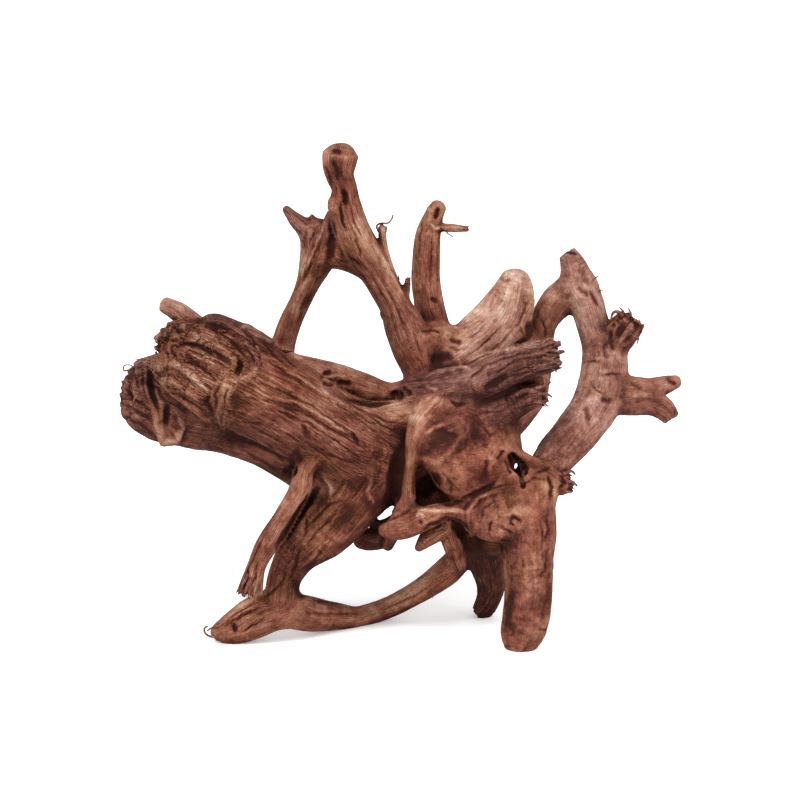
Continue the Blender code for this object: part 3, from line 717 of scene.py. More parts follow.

# The marks that the onlooker sees: half width, how deep it presses the wood in, or how far it
# raises it where less than 0, how much paler or darker it leaves it, and its line, across and up.
# Their darkening is partly painted shade, in the pits, grooves and shadowed places they lie on,
# and partly darker stains of the wood.
STROKES = (
    # The trunk's torn end
    (4, -3, 0.2, ((-228, 312), (-210, 317), (-192, 308), (-175, 298), (-160, 286))),
    (4, -3, 0.2, ((-228, 300), (-210, 298), (-190, 288), (-174, 276))),
    (4.5, -4, 0.4, ((-240, 288), (-222, 284), (-204, 272), (-188, 258))),
    (4.5, -4, 0.4, ((-242, 270), (-222, 266), (-202, 252), (-188, 238))),
    (3.5, -2.5, 0.3, ((-164, 320), (-154, 324), (-142, 317), (-128, 308), (-110, 298), (-94, 288))),
    (12, -3, 0.25, ((-169, 276), (-173, 258), (-176, 242), (-178, 228))),
    (5, -3, 0.3, ((-166, 271), (-156, 271), (-147, 277), (-141, 288))),
    (5, -4, -0.5, ((-194, 332), (-178, 328), (-162, 316), (-150, 304))),
    (2, 3.5, -0.8, ((-226, 305), (-205, 307), (-185, 298), (-168, 284))),
    (2, 3.5, -0.8, ((-224, 292), (-204, 286), (-188, 274), (-178, 262))),
    (2, 3.5, -0.8, ((-250, 279), (-228, 274), (-210, 260), (-194, 248))),
    (1.6, 2.5, -0.6, ((-220, 310), (-200, 303), (-182, 292))),
    (1.6, 2.5, -0.6, ((-220, 278), (-202, 266), (-190, 254))),
    (1.6, 2.5, -0.6, ((-240, 258), (-222, 256), (-204, 244))),
    (2.5, 6, -1, ((-202, 272), (-195, 266), (-187, 258))),
    (2.5, 4.5, -0.9, ((-194, 324), (-175, 314), (-160, 300), (-150, 290))),
    (2, 4, -0.8, ((-228, 326), (-222, 318), (-208, 319))),
    (2, 3.5, -0.8, ((-150, 315), (-140, 298), (-138, 282))),
    (2, 3, -0.7, ((-160, 310), (-148, 296), (-144, 284))),
    (3, 6, -1, ((-162, 292), (-159, 284), (-164, 276))),
    (7, 1.2, -0.5, ((-160, 264), (-162, 253), (-168, 240))),
    (3, 3, -0.8, ((-190, 255), (-194, 248), (-186, 236))),
    (3, 3, -0.9, ((-245, 300), (-240, 308), (-230, 314))),
    (2.5, 5, -0.9, ((-250, 266), (-242, 262), (-238, 252))),
    (1.8, 2.5, -0.6, ((-138, 310), (-125, 294), (-110, 280))),
    (1.8, 2.5, -0.6, ((-130, 308), (-116, 294), (-100, 278))),
    (7, 0, -0.8, ((-226, 302), (-214, 300), (-203, 295))),
    (6, 0, -0.8, ((-212, 290), (-203, 284), (-194, 277))),
    (5, 0, -0.8, ((-184, 314), (-170, 307), (-156, 298))),
    (5, -1, 0.5, ((-208, 318), (-186, 312), (-166, 301))),
    (5, -1, 0.5, ((-229, 290), (-208, 273), (-190, 252))),
    (4, -1, 0.4, ((-214, 284), (-198, 266), (-188, 250))),
    (1.6, 2.5, -0.8, ((-177, 274), (-184, 256), (-184, 238))),
    (1.6, 2.5, -0.8, ((-169, 270), (-175, 254), (-176, 236))),
    # The low stub
    (4, -5, 0.5, ((-246, 248), (-243, 225), (-236, 209), (-224, 210), (-217, 222), (-223, 240))),
    (3, 6, -1, ((-234, 246), (-233, 235), (-234, 225))),
    (3, 8.5, -1.3, ((-251, 288), (-250, 270), (-247, 252), (-242, 240))),
    (3, -3, -0.2, ((-264, 280), (-265, 262), (-261, 246))),
    (2, 3, -0.9, ((-271, 276), (-270, 258), (-266, 244))),
    (2, 3, -0.9, ((-258, 284), (-257, 266), (-253, 248))),
    (2, 2.5, -0.7, ((-278, 246), (-262, 238), (-248, 230))),
    (2, 2.5, -0.7, ((-274, 234), (-258, 224), (-242, 212))),
    (2, 3, -0.8, ((-276, 264), (-267, 252), (-250, 240))),
    # Painted shadow that the trunk's torn end casts on the low stub below it
    (20, 0, -0.95, ((-210, 242), (-185, 226), (-155, 214))),
    (10, 1.8, -0.5, ((-185, 214), (-155, 210), (-138, 204))),
    (5, 6, -1, ((-118, 180), (-110, 177), (-103, 184))),
    (3, 2.4, -0.8, ((-110, 192), (-103, 198), (-100, 188))),
    (2.5, 3, -0.6, ((-138, 210), (-125, 198), (-115, 188))),
    (2, 2.5, -0.5, ((-155, 225), (-130, 214), (-110, 202))),
    (2, 2.5, -0.5, ((-150, 195), (-132, 186), (-116, 174))),
    # Grain running off the trunk to the middle
    (1.6, 1.8, -0.5, (
        (-160, 262), (-138, 266), (-115, 258), (-90, 245), (-60, 225), (-30, 200), (-5, 180),
    )),
    (1.6, 1.8, -0.5, ((-156, 252), (-130, 248), (-100, 238), (-70, 222), (-40, 204), (-12, 182))),
    (1.6, 1.8, -0.5, ((-152, 242), (-120, 238), (-90, 226), (-65, 210), (-42, 192), (-20, 178))),
    (1.5, 1.6, -0.5, (
        (-145, 305), (-125, 284), (-100, 267), (-75, 252), (-50, 238), (-25, 218), (0, 198),
    )),
    (1.5, 1.6, -0.5, (
        (-138, 300), (-115, 278), (-90, 262), (-65, 250), (-40, 235), (-15, 217), (5, 209),
    )),
    (1.4, 1.6, -0.6, ((-55, 248), (-35, 239), (-15, 229), (11, 225))),
    (1.4, 1.6, -0.6, ((-50, 244), (-30, 233), (-10, 221), (8, 218))),
    (1.4, 1.6, -0.6, ((-32, 235), (-14, 223), (7, 213))),
    (1.4, 1.4, -0.5, ((-12, 239), (1, 234), (16, 238))),
    (2, 4, -1.1, ((-48, 219), (-44, 212), (-41, 204))),
    (3, 1.5, -0.7, ((-99, 227), (-95, 219), (-91, 212))),
    (2, 2, -0.5, ((-100, 210), (-80, 198), (-55, 189), (-34, 188))),
    (1.6, 1.6, -0.4, ((-168, 229), (-138, 226), (-115, 216), (-100, 208))),
    (1.6, 1.6, -0.4, ((-90, 235), (-65, 218), (-40, 210), (-15, 192))),
    (1.8, 2, -0.5, ((-70, 270), (-50, 258), (-35, 250))),
    (3, -2, 0.3, ((-132, 295), (-110, 278), (-80, 258), (-50, 242), (-20, 227))),
    (3, -2, 0.2, ((-138, 255), (-105, 248), (-75, 232), (-50, 214))),
    # The rear limb and the saddle
    (3, 6.8, -1.1, ((-53, 252), (-40, 248), (-25, 246), (-6, 250))),
    (3, 3.6, -1.2, ((-67, 279), (-74, 277), (-79, 272))),
    (2.5, 6, -1.2, ((-75, 267), (-68, 266))),
    (3, 3.6, -1.2, ((-60, 267), (-51, 267))),
    (2.5, -2.5, 0.3, ((-72, 273), (-62, 274), (-52, 273))),
    (4.5, 6, -1, ((-6, 257), (-1, 255))),
    (3, 2.4, -0.8, ((4, 261), (10, 256))),
    (18, 0, 1, ((-24, 245), (4, 247), (34, 246))),
    (11, 0, 0.8, ((-12, 228), (10, 236), (34, 240))),
    (8, 0, 0.5, ((-70, 286), (-50, 282), (-34, 276))),
    # The loop limb
    (4, 3.6, -1, ((-69, 432), (-67, 416), (-70, 396), (-74, 384))),
    (2.2, 4, -0.8, ((-79, 410), (-87, 392), (-95, 374), (-100, 364))),
    (2.2, 4, -0.8, ((-83, 424), (-91, 406), (-96, 388))),
    (1.8, 2.5, -0.6, ((-93, 420), (-96, 408), (-98, 396))),
    (2.6, -3, 0.3, ((-87, 418), (-92, 400), (-96, 384), (-100, 370))),
    (2.6, -2.5, 0.2, ((-75, 428), (-82, 407), (-89, 390), (-98, 371))),
    (2, 2.5, -0.6, ((-98, 380), (-101, 368), (-104, 360))),
    (4, 0, -0.5, ((-110, 440), (-100, 428), (-88, 430))),
    (4, 0, 0.7, ((-106, 336), (-98, 358), (-88, 380))),
    (4, 0, -1, ((-122, 292), (-118, 314), (-110, 336))),
    # The tall limb
    (2.7, 2, -0.9, ((-65, 499), (-61, 498))),
    (2.5, 3.5, -0.8, ((-75, 485), (-71, 473), (-67, 462))),
    (3, 5.5, -1.1, ((-57, 461), (-55, 452), (-54, 444))),
    (1.8, 5, -1.1, ((-59, 450), (-59, 438), (-57, 427), (-54, 418))),
    (5, -3.5, 0.1, ((-67, 454), (-68, 444), (-66, 434))),
    (2.5, 3, -0.6, ((-67, 490), (-63, 478), (-62, 468))),
    (1.8, 3, -0.8, ((-46, 416), (-42, 404), (-39, 393))),
    (1.8, 3, -0.8, ((-52, 394), (-45, 389), (-38, 384))),
    (2.2, 2, -0.5, ((-38, 388), (-23, 366), (-10, 340), (-2, 312))),
    (2.4, 2, -0.6, ((-28, 386), (-12, 360), (2, 330), (12, 304))),
    (2, 2, -0.5, ((-58, 410), (-48, 388), (-34, 368), (-18, 342))),
    (1.8, 1.8, -0.5, ((-50, 450), (-46, 428), (-34, 406))),
    (3, -2, 0.4, ((-28, 412), (-16, 388), (-2, 362), (12, 338))),
    (3, 0, 0.5, ((-20, 405), (-12, 384))),
    (8, 0, -0.45, ((-8, 330), (-2, 305), (8, 285))),
    (2, 2, -0.5, ((12, 320), (18, 305), (24, 290))),
    (2, 2, -0.5, ((-70, 400), (-64, 388), (-50, 388))),
    (12, 0, -1.3, ((-62, 500), (-62, 482), (-64, 466))),
    (8, 0, 0.6, ((-47, 438), (-36, 412), (-20, 386))),
    (9, 0, -0.7, ((0, 322), (6, 302), (16, 284))),
    # The second limb
    (3.5, 4, -1, ((37, 444), (37, 437), (36, 430))),
    (2.5, -3, 0.1, ((29, 444), (30, 434), (28, 424))),
    (1.8, 2, -0.6, ((24, 436), (20, 414), (19, 388))),
    (1.8, 2, -0.6, ((32, 416), (31, 388), (30, 360))),
    (1.8, 2, -0.5, ((38, 410), (37, 385), (38, 360))),
    (3, 2.4, -1.1, ((33, 351), (35, 350))),
    (7, 0, -0.7, ((19, 368), (21, 352), (28, 336))),
    (2, -2.5, 0.5, ((30, 427), (34, 421), (42, 422))),
    # The crown and the pale stump
    (3, 2.4, -1, ((53, 310), (59, 308))),
    (7, 3.5, -1.5, ((31, 287), (42, 291), (55, 296))),
    (1.8, 2, -0.5, ((20, 318), (32, 320), (44, 314))),
    (1.8, 2, -0.5, ((46, 304), (58, 300), (68, 302))),
    (1.6, 2.5, -0.8, ((103, 326), (92, 314), (80, 302), (64, 292))),
    (1.6, 3, -1, ((100, 307), (94, 302), (89, 297))),
    (1.6, 2, -0.6, ((114, 322), (106, 312), (100, 306))),
    (1.6, 2, -0.6, ((84, 324), (76, 316), (66, 312))),
    (2, 2.5, -0.6, ((128, 354), (124, 338), (119, 326), (110, 322))),
    (4.5, -2, 0.2, ((106, 376), (110, 376))),
    (2.2, 1.5, -0.4, ((100, 373), (104, 369), (112, 371))),
    (2, 1.6, -0.4, ((52, 320), (70, 324), (86, 332))),
    (2.5, 2, -0.6, ((120, 325), (124, 315), (120, 308))),
    (14, 0, 0.7, ((112, 368), (106, 350), (92, 325))),
    (8, 0, 0.5, ((82, 305), (70, 298), (55, 305))),
    (3, 4, -1, ((124, 310), (118, 304))),
    (4, 3.6, -1, ((129, 330), (129, 318), (127, 308))),
    # The long broken plank
    (3, -4, 0.5, ((70, 289), (90, 297), (112, 300), (130, 305), (146, 308))),
    (1.8, 2.5, -0.8, ((78, 282), (100, 290), (122, 296), (146, 300))),
    (5, 4.5, -0.9, ((84, 259), (95, 267), (108, 276))),
    (3, -3, 0.3, ((28, 276), (45, 279), (62, 282), (74, 279))),
    (2.5, 4, -0.8, ((70, 270), (78, 278), (86, 284))),
    (2, 2.5, -0.6, ((112, 278), (130, 283), (148, 289))),
    (2, 2.5, -0.6, ((102, 270), (120, 276), (145, 280))),
    (2, 2.5, -0.6, ((92, 273), (112, 288), (140, 295))),
    (2.2, 4, -0.9, ((106, 247), (106, 256), (114, 263), (127, 267), (141, 268))),
    (4, -3.5, 0, ((113, 253), (126, 259), (141, 259))),
    (2.2, 7, -1.2, ((50, 250), (57, 245), (65, 246))),
    (1.8, 2, -0.5, ((75, 235), (90, 238), (105, 238))),
    (3, -2, 0.3, ((28, 262), (36, 260))),
    # The shell: bowl, strap and hollows
    (9, 1, -0.4, ((27, 205), (40, 212), (55, 213))),
    (2.2, 3.5, -0.8, ((37, 222), (48, 216), (59, 214))),
    (3, -2.5, 0.3, ((24, 214), (34, 222), (46, 226))),
    (5, -1.6, 0.25, ((20, 192), (36, 188), (48, 196), (56, 208), (62, 222))),
    (8, 12, -1.4, ((20, 172), (24, 162), (21, 152))),
    (6, 11.9, -1.4, ((32, 170), (34, 166))),
    (6, 10.2, -1.1, ((-1, 198), (-5, 176), (-6, 156), (-14, 144))),
    (2.8, 4.5, -1, ((62, 150), (75, 157), (88, 163), (97, 172))),
    (2.2, 5, -1, ((38, 147), (52, 146), (64, 150))),
    (2.5, 4, -0.9, ((87, 188), (85, 175))),
    (2.5, 4, -1, ((98, 192), (103, 198))),
    (2, 3, -0.8, ((106, 188), (110, 178))),
    (1.8, 1.8, -0.4, ((70, 220), (65, 202), (50, 194))),
    (1.8, 1.8, -0.4, ((80, 225), (90, 214), (96, 220))),
    (1.8, 1.8, -0.4, ((40, 180), (52, 166), (50, 154))),
    # The lobe and the front leg
    (2, 2.4, -0.6, ((66, 128), (64, 142), (75, 155), (96, 163), (116, 167))),
    (2, 2.4, -0.6, ((72, 120), (70, 138), (81, 150), (102, 158))),
    (1.8, 2, -0.5, ((80, 126), (83, 141), (96, 150))),
    (3, -2, 0.3, ((68, 136), (78, 150), (94, 158))),
    (2.6, 4, -1.1, ((113, 133), (120, 129))),
    (2, 3, -0.9, ((93, 131), (90, 124), (89, 116))),
    (2.2, 3, -0.9, ((99, 124), (106, 120), (114, 116))),
    (1.8, 2.5, -0.8, ((103, 110), (109, 109))),
    (1.8, 2.5, -0.6, ((112, 135), (110, 127), (115, 124))),
    (5, 1.8, -0.8, ((112, 65), (110, 48), (106, 30), (103, 14))),
    (2, 2.2, -0.6, ((146, 136), (148, 120), (144, 104))),
    (1.8, 2, -0.5, ((141, 130), (143, 112), (141, 98))),
    (2, 2.4, -0.6, ((146, 89), (145, 80), (138, 72))),
    (2, 2.2, -0.6, ((122, 92), (123, 84))),
    (3, 0, -0.4, ((130, 85), (133, 65), (130, 50))),
    (1.6, 2, -0.6, ((140, 21), (146, 20))),
    (2.5, 7, -1.1, ((148, 176), (152, 162), (150, 149))),
    (3, 2.4, -0.9, ((160, 176), (165, 166), (158, 158))),
    (2, 3, -0.7, ((135, 176), (145, 180), (152, 184))),
    (3, 3, -0.9, ((172, 170), (170, 160))),
    (2, 2, -0.5, ((120, 165), (135, 172), (146, 170))),
    (14, 0, 0.15, ((110, 150), (135, 130), (135, 90))),
    (9, 0, 0.6, ((136, 118), (134, 92), (130, 66), (126, 44))),
    (8, 0, -1.2, ((108, 40), (112, 16), (124, 6))),
    (6, 0, -1, ((148, 104), (149, 62), (145, 30))),
    # The tongue
    (2.4, 6, -1.2, ((18, 116), (31, 125), (46, 131), (59, 129), (68, 118))),
    (2, 3, -0.9, ((20, 129), (22, 127))),
    (2.4, -2, 0.4, ((15, 132), (19, 136), (26, 133))),
    (2, 2, -0.5, ((-15, 128), (0, 134), (12, 142))),
    (5, 6.8, -1.2, ((52, 126), (61, 120), (64, 112))),
    (3, -2.5, 0.5, ((10, 140), (30, 139), (52, 139), (70, 138))),
    # The arch and the antlers
    (6, 1.4, -0.42, ((162, 359), (167, 354))),
    (1.8, 3, -0.9, ((190, 360), (194, 350), (198, 344))),
    (4, 1.4, -0.49, ((182, 378), (186, 370))),
    (3, 1.2, -0.42, ((180, 362), (186, 356))),
    (4, 1.8, -0.63, ((187, 246), (188, 234), (189, 224))),
    (2, 2.2, -0.7, ((184, 288), (194, 289), (202, 287))),
    (2, 2, -0.6, ((200, 274), (212, 277), (224, 276))),
    (3, 1.8, -0.63, ((203, 251), (210, 249))),
    (2, 2.5, -0.6, ((190, 268), (198, 260), (206, 254))),
    (3, 1, -0.42, ((208, 312), (204, 300), (206, 288))),
    (4, 0.8, -0.35, ((222, 245), (240, 250), (256, 250), (268, 242))),
    (8, 0, -0.5, ((230, 246), (250, 246), (266, 236))),
    (10, 0, -0.5, ((140, 332), (137, 318), (145, 308))),
    (2, 2.4, -0.6, ((140, 332), (146, 322), (144, 310))),
    (3, 1.6, -0.63, ((268, 270), (274, 266))),
    (2, 2.5, -0.6, ((232, 266), (240, 262))),
    (2, 4, -1, ((166, 398), (174, 396))),
    (3, 1.6, -0.63, ((232, 332), (236, 326))),
    (3, 1.6, -0.63, ((222, 324), (218, 316))),
    (2.5, 4, -0.8, ((212, 322), (210, 308), (214, 300))),
    (10, 0, -0.55, ((215, 320), (228, 320))),
    (5, 0, 0.5, ((183, 278), (180, 260), (172, 240))),
    (4, 0, 0.4, ((203, 246), (196, 232))),
    # The left leg, the prop and the foot
    (3.6, 10.2, -1.4, ((-82, 162), (-94, 145), (-108, 125), (-123, 102))),
    (2, 2.5, -0.5, ((-64, 138), (-74, 126), (-86, 116), (-93, 104))),
    (2, 2.5, -0.4, ((-56, 150), (-70, 146), (-84, 132), (-93, 122))),
    (2.5, 3, -0.7, ((-94, 136), (-93, 124), (-97, 112))),
    (2.5, 3, -0.6, ((-98, 105), (-104, 88), (-109, 66))),
    (3, 1.8, -0.7, ((-74, 105), (-86, 88), (-98, 74))),
    (10, 1.8, -0.5, ((-48, 150), (-58, 132), (-70, 115))),
    (2, 2.5, -0.6, ((-55, 170), (-62, 160), (-70, 152))),
    (2.5, 2.5, -0.6, ((-30, 180), (-38, 164), (-50, 150))),
    (3, -2, 0.4, ((-78, 176), (-68, 162), (-70, 150))),
    (3, -2, 0.3, ((-28, 174), (-32, 158), (-26, 145))),
    (1.8, 3.5, -1, ((-150, 88), (-153, 72), (-157, 58))),
    (1.8, 3.5, -1.1, ((-143, 90), (-145, 72), (-150, 56))),
    (1.6, 2, -0.6, ((-138, 110), (-146, 94), (-151, 80))),
    (1.6, 2, -0.6, ((-100, 180), (-112, 158), (-124, 138), (-138, 116))),
    (2.4, -1.5, 0.3, ((-96, 188), (-106, 168), (-118, 148), (-134, 126))),
    (3.5, 3, -1.2, ((-166, 24), (-165, 20))),
    (1.4, 2.5, -0.9, ((-168, 20), (-152, 30), (-138, 37))),
    (1.4, 2.5, -0.9, ((-160, 16), (-147, 25), (-136, 31))),
    (1.4, 2.5, -0.8, ((-176, 24), (-158, 35), (-141, 43))),
    (1.4, 2, -0.7, ((-170, 26), (-156, 34), (-144, 40))),
    (1.4, 2, -0.6, ((-181, 22), (-163, 36), (-146, 47))),
    (1.6, -1.5, 0.5, ((-164, 23), (-150, 31), (-139, 36))),
    (1.6, -1.5, 0.5, ((-172, 29), (-155, 39), (-141, 46))),
    (1.8, 2, -0.5, ((-138, 50), (-120, 65), (-112, 80))),
    (1.8, 1.6, -0.4, ((-100, 38), (-70, 36), (-38, 37))),
    (1.8, 1.6, -0.4, ((-20, 40), (10, 52), (40, 70))),
    (2.2, 3, -0.8, ((-92, 50), (-70, 48), (-51, 46))),
    (3, 0, 0.5, ((-160, 44), (-142, 54))),
    (4, 0, 0.6, ((-64, 41), (-22, 43), (10, 59), (34, 75))),
    # Painted shade along the floor root's underside
    (5, 0, -1.6, ((-92, 24), (-45, 22), (-10, 32), (25, 50), (52, 70))),
    (8, 0, -1.4, ((34, 78), (50, 94), (62, 106))),
    (5, 0, 0.6, ((-176, 31), (-152, 50), (-130, 62))),
    # Painted shade along the foot's underside
    (6, 0, -1.4, ((-182, 8), (-155, 6), (-128, 14))),
    (5, 3.6, -1.1, ((-104, 65), (-98, 56))),
)

# Loose fibres and rootlets: half thickness at the foot and at the tip, and the way they run, in
# millimetres across, up and deep
ROOTLETS = (
    # On the tall limb's splinter
    (1.1, 0.8, (
        (-21, 418, 1), (-23, 424, 1), (-19, 427, 0), (-12, 427, -2), (-8, 431, -3), (-7, 435, -3),
    )),
    (2.4, 0.6, ((-16, 404, 4), (-18, 413, 2), (-20, 422, 1), (-19, 426, 0))),
    (1.8, 0.5, ((-14, 404, 4), (-15, 413, 2), (-14, 420, 0), (-13, 424, 0))),
    # On the second limb's spike
    (0.8, 0.6, ((45, 420, 77), (49, 416, 75), (53, 413, 74))),
    (1.3, 0.4, ((60, 421, 76), (65, 423, 75), (70, 424, 75))),
    # Slivers beside the tall limb
    (2.2, 0.5, ((3, 350, 18), (6, 362, 16), (8, 374, 14))),
    (1.2, 0.4, ((-2, 360, 14), (-1, 370, 12), (-2, 376, 12))),
    (1.5, 0.4, ((-14, 326, 22), (-18, 332, 20), (-20, 338, 19))),
    # At the low stub and the trunk's end
    (1, 0.6, (
        (-268, 276, -34), (-272, 280, -36), (-276, 279, -38), (-276, 284, -38), (-271, 285, -36),
        (-262, 282, -36),
    )),
    (1.3, 0.5, ((-262, 258, -54), (-266, 250, -55), (-268, 240, -52))),
    (1.2, 0.4, ((-246, 288, -96), (-238, 296, -104), (-228, 305, -108))),
    (1.2, 0.4, ((-243, 302, -92), (-235, 312, -98), (-226, 317, -100))),
    (1.4, 0.5, ((-238, 284, -106), (-230, 270, -112), (-226, 258, -110))),
    (1.3, 0.5, ((-232, 288, -108), (-222, 276, -116), (-214, 264, -118), (-208, 250, -114))),
    (1.2, 0.4, ((-150, 300, -122), (-144, 292, -122), (-146, 282, -123))),
    (1.2, 0.4, ((-144, 304, -118), (-138, 294, -119), (-140, 286, -121))),
    # At the toe
    (1.4, 0.9, ((-178, 17, -38), (-187, 13, -38), (-194, 16, -36), (-196, 21, -34), (-192, 24, -33))),
    (1.1, 0.8, ((-180, 22, -36), (-188, 22, -38), (-193, 19, -38))),
    (1.1, 0.5, ((30, 60, 50), (31, 56, 46), (33, 52, 45))),
    # On the knob of the arch
    (2.6, 1, ((222, 334, 54), (218, 338, 52), (213, 337, 52), (211, 331, 52))),
    (1.5, 0.5, ((226, 334, 56), (222, 340, 56), (219, 343, 56))),
    (1.5, 0.5, ((231, 334, 58), (230, 339, 58), (228, 342, 58))),
    (1.8, 0.7, ((234, 330, 56), (239, 328, 56), (241, 323, 56))),
    (1.6, 0.6, ((232, 316, 52), (238, 312, 52), (237, 306, 53))),
    (1.1, 0.4, ((192, 369, 76), (197, 373, 76), (199, 374, 76))),
    (1.1, 0.4, ((197, 357, 76), (201, 360, 76), (203, 358, 76))),
    # At the broken plank's tip and lip
    (2.2, 0.8, ((138, 302, -40), (148, 306, -42), (156, 308, -42), (157, 304, -42))),
    (2, 0.7, ((142, 298, -42), (152, 300, -44), (160, 298, -44))),
    (2, 0.7, ((142, 292, -44), (152, 290, -44), (159, 286, -44))),
    (2, 0.7, ((138, 286, -42), (149, 283, -42), (157, 278, -42))),
    (1.6, 0.6, ((140, 304, -38), (148, 311, -38), (154, 311, -36))),
    (1.9, 0.7, ((136, 262, -44), (145, 264, -44), (151, 268, -42))),
    (1.9, 0.7, ((138, 256, -44), (147, 256, -44), (152, 253, -42))),
    (1.7, 0.6, ((134, 248, -42), (143, 247, -42), (148, 244, -42))),
    # On the ragged knob over the leg
    (2.2, 0.9, ((164, 176, -34), (171, 179, -34), (175, 175, -34))),
    (2.2, 0.9, ((166, 168, -36), (173, 168, -36), (177, 164, -36))),
    (2, 0.8, ((162, 160, -36), (169, 158, -36), (173, 159, -36))),
    (1.6, 0.6, ((150, 152, -40), (153, 148, -40), (154, 143, -40))),
    # At the prop's torn end
    (2.2, 0.7, ((-152, 76, -62), (-157, 66, -62), (-160, 58, -61))),
    (2.4, 0.8, ((-148, 72, -64), (-153, 62, -64), (-156, 54, -62))),
    (2, 0.6, ((-144, 72, -62), (-148, 61, -62), (-150, 54, -60))),
    (1.8, 0.6, ((-140, 78, -60), (-143, 66, -60), (-144, 58, -60))),
    # On the front leg
    (1.1, 0.5, ((150, 76, -50), (153, 83, -50), (153, 92, -50))),
)


def hidden_by(points):
    """Across and up of each point, and how far it lies behind whatever is in front of it."""
    across, up, away = sighted(points)
    column = np.floor(across / SIGHT_SQUARE).astype(int) + SIGHT_CORNER[0]
    row = np.floor(up / SIGHT_SQUARE).astype(int) + SIGHT_CORNER[1]
    nearest = np.full((SIGHT_SQUARES, SIGHT_SQUARES), 1e9)
    np.minimum.at(nearest, (column, row), away)
    return across, up, away - nearest[column, row]


def facing(normals):
    """1 where the skin faces the onlooker, 0 where it is seen edge on."""
    return -(normals @ FORWARD)


def beside(line, spots):
    """How far spots lie from a line, how far along it from 0 to 1, and on which side of it."""
    best = np.full(len(spots), 1e9)
    place = np.zeros(len(spots))
    side = np.ones(len(spots))
    for n, (start, end) in enumerate(zip(line, line[1:])):
        span = end - start
        off = spots - start
        t = np.clip(off @ span / max(span @ span, 1e-6), 0, 1)
        gap = np.linalg.norm(off - t[:, None] * span, axis=1)
        closer = gap < best
        place = np.where(closer, (n + t) / (len(line) - 1), place)
        side = np.where(closer, np.sign(span[0] * off[:, 1] - span[1] * off[:, 0]), side)
        best = np.minimum(best, gap)
    return best, place, side


def strokes_on(points, normals):
    """What the onlooker's strokes do to each point.

    How deep they press it, how dark or pale they leave it, the darkening partly painted shade and
    partly stains, which side of the nearest fine crack it lies on and how far off, and how open
    that crack is there.
    """
    across, up, behind = hidden_by(points)
    across = across + 1.0 * noise(points / 9.0, 21) + 0.4 * noise(points / 3.5, 23)
    up = up + 1.0 * noise(points / 9.0, 22) + 0.4 * noise(points / 3.5, 24)
    fade = 1 - smooth_step(REACH * 0.5, REACH, behind)
    fade = fade * smooth_step(-0.15, 0.25, facing(normals))
    press, shade, crack_open = np.zeros((3, len(points)))
    crack_side = np.full(len(points), CRACK_REACH)
    for width, depth, tint, line in STROKES:
        line = np.array(line, float)
        fine = depth > 0 and width < FINE
        reach = CRACK_REACH if fine else 2.2 * width
        low, high = line.min(0) - reach, line.max(0) + reach
        inside = (across > low[0]) & (across < high[0]) & (up > low[1]) & (up < high[1])
        pick = np.flatnonzero(inside & (fade > 0))
        best, place, side = beside(line, np.column_stack((across[pick], up[pick])))
        ends = 1.0
        if len(line) > 2:
            ends = np.minimum(1, STROKE_TAPER * np.minimum(place, 1 - place) + STROKE_TIP)
        mark = ends * np.exp(-((best / (0.8 * width)) ** 2)) * fade[pick]
        wide_share = WIDE_SHADE if tint < 0 else 1.0
        press[pick] += depth * mark * (FINE_PRESS if fine else 1.0)
        shade[pick] += tint * mark * (FINE_SHADE if fine else wide_share)
        if fine:
            own = (best < np.abs(crack_side[pick])) & (best < CRACK_REACH)
            crack_side[pick[own]] = (best * side)[own]
            opened = -tint * ends * fade[pick] * np.clip(1.5 - best / (0.5 * CRACK_REACH), 0, 1)
            crack_open[pick[own]] = opened[own]
    return press, shade, crack_side, crack_open


def grow_root():
    """The root's skin, and the solid it is the skin of: points in millimetres, faces, lattice."""
    low, counts = lattice()
    field = np.full(counts, FAR, np.float32)
    with ThreadPoolExecutor(WORKERS) as pool:
        for limbs, carve in ((WOOD, False), (HOLLOWS, True)):
            fields = pool.map(lambda limb: own_field(limb, low, counts), limbs)
            for limb, (own, part) in zip(limbs, fields):
                melt(field, limb, own, part, carve)
    points, quads = skin_of(field, low)
    normals = normals_of(points, quads)
    rise = np.zeros(len(points))
    share = np.full(len(points), 1e-6)
    with ThreadPoolExecutor(WORKERS) as pool:
        found = flow(points, pool)
        heights = pool.map(lambda one: flutes(one[0], one[1][2]), zip(WOOD, found))
        for (near, hold, _), height in zip(found, heights):
            rise[near] += hold * height
            share[near] += hold
    points = points + normals * (rise / share)[:, None]
    normals = normals_of(points, quads)
    press = strokes_on(points, normals)[0]
    along_sight = np.clip(press / STRAIGHT_IN, 0, 1)[:, None]
    inward = unit(FORWARD * along_sight - normals * (1.0 - along_sight * 0.8))
    points = points + inward * press[:, None]
    points[:, 2] = np.maximum(points[:, 2], 0.0)
    return points, quads, field, low


def placed(name, mesh):
    """A new object of that mesh, in the scene."""
    made = bpy.data.objects.new(name, mesh)
    bpy.context.scene.collection.objects.link(made)
    return made


def mesh_of(name, points, faces):
    """A new object of those points, in millimetres, and faces."""
    mesh = bpy.data.meshes.new(name)
    mesh.from_pydata((points * MM).tolist(), [], faces.tolist())
    mesh.validate()
    return placed(name, mesh)


def applied(made):
    """The object with its modifiers made part of its mesh."""
    graph = bpy.context.evaluated_depsgraph_get()
    mesh = bpy.data.meshes.new_from_object(made.evaluated_get(graph))
    made.modifiers.clear()
    made.data = mesh
    return made


def thinned(made, front):
    """The object with fewer triangles, closest together on the side that faces the onlooker."""
    whole = front[np.array([f.vertices[:] for f in made.data.polygons])].all(1)
    triangles = 2 * len(whole)
    in_front = 2 * int(whole.sum())
    for name, chosen in (("back", ~front), ("front", front)):
        made.vertex_groups.new(name=name).add(np.flatnonzero(chosen).tolist(), 1.0, "REPLACE")
    targets = (("back", in_front + BACK_TRIANGLES), ("front", FRONT_TRIANGLES + BACK_TRIANGLES))
    for name, target in targets:
        thin = made.modifiers.new("thin", "DECIMATE")
        thin.ratio = min(1.0, target / triangles)
        thin.use_collapse_triangulate = True
        thin.vertex_group = name
        applied(made)
        triangles = len(made.data.polygons)
    made.vertex_groups.clear()
    return made


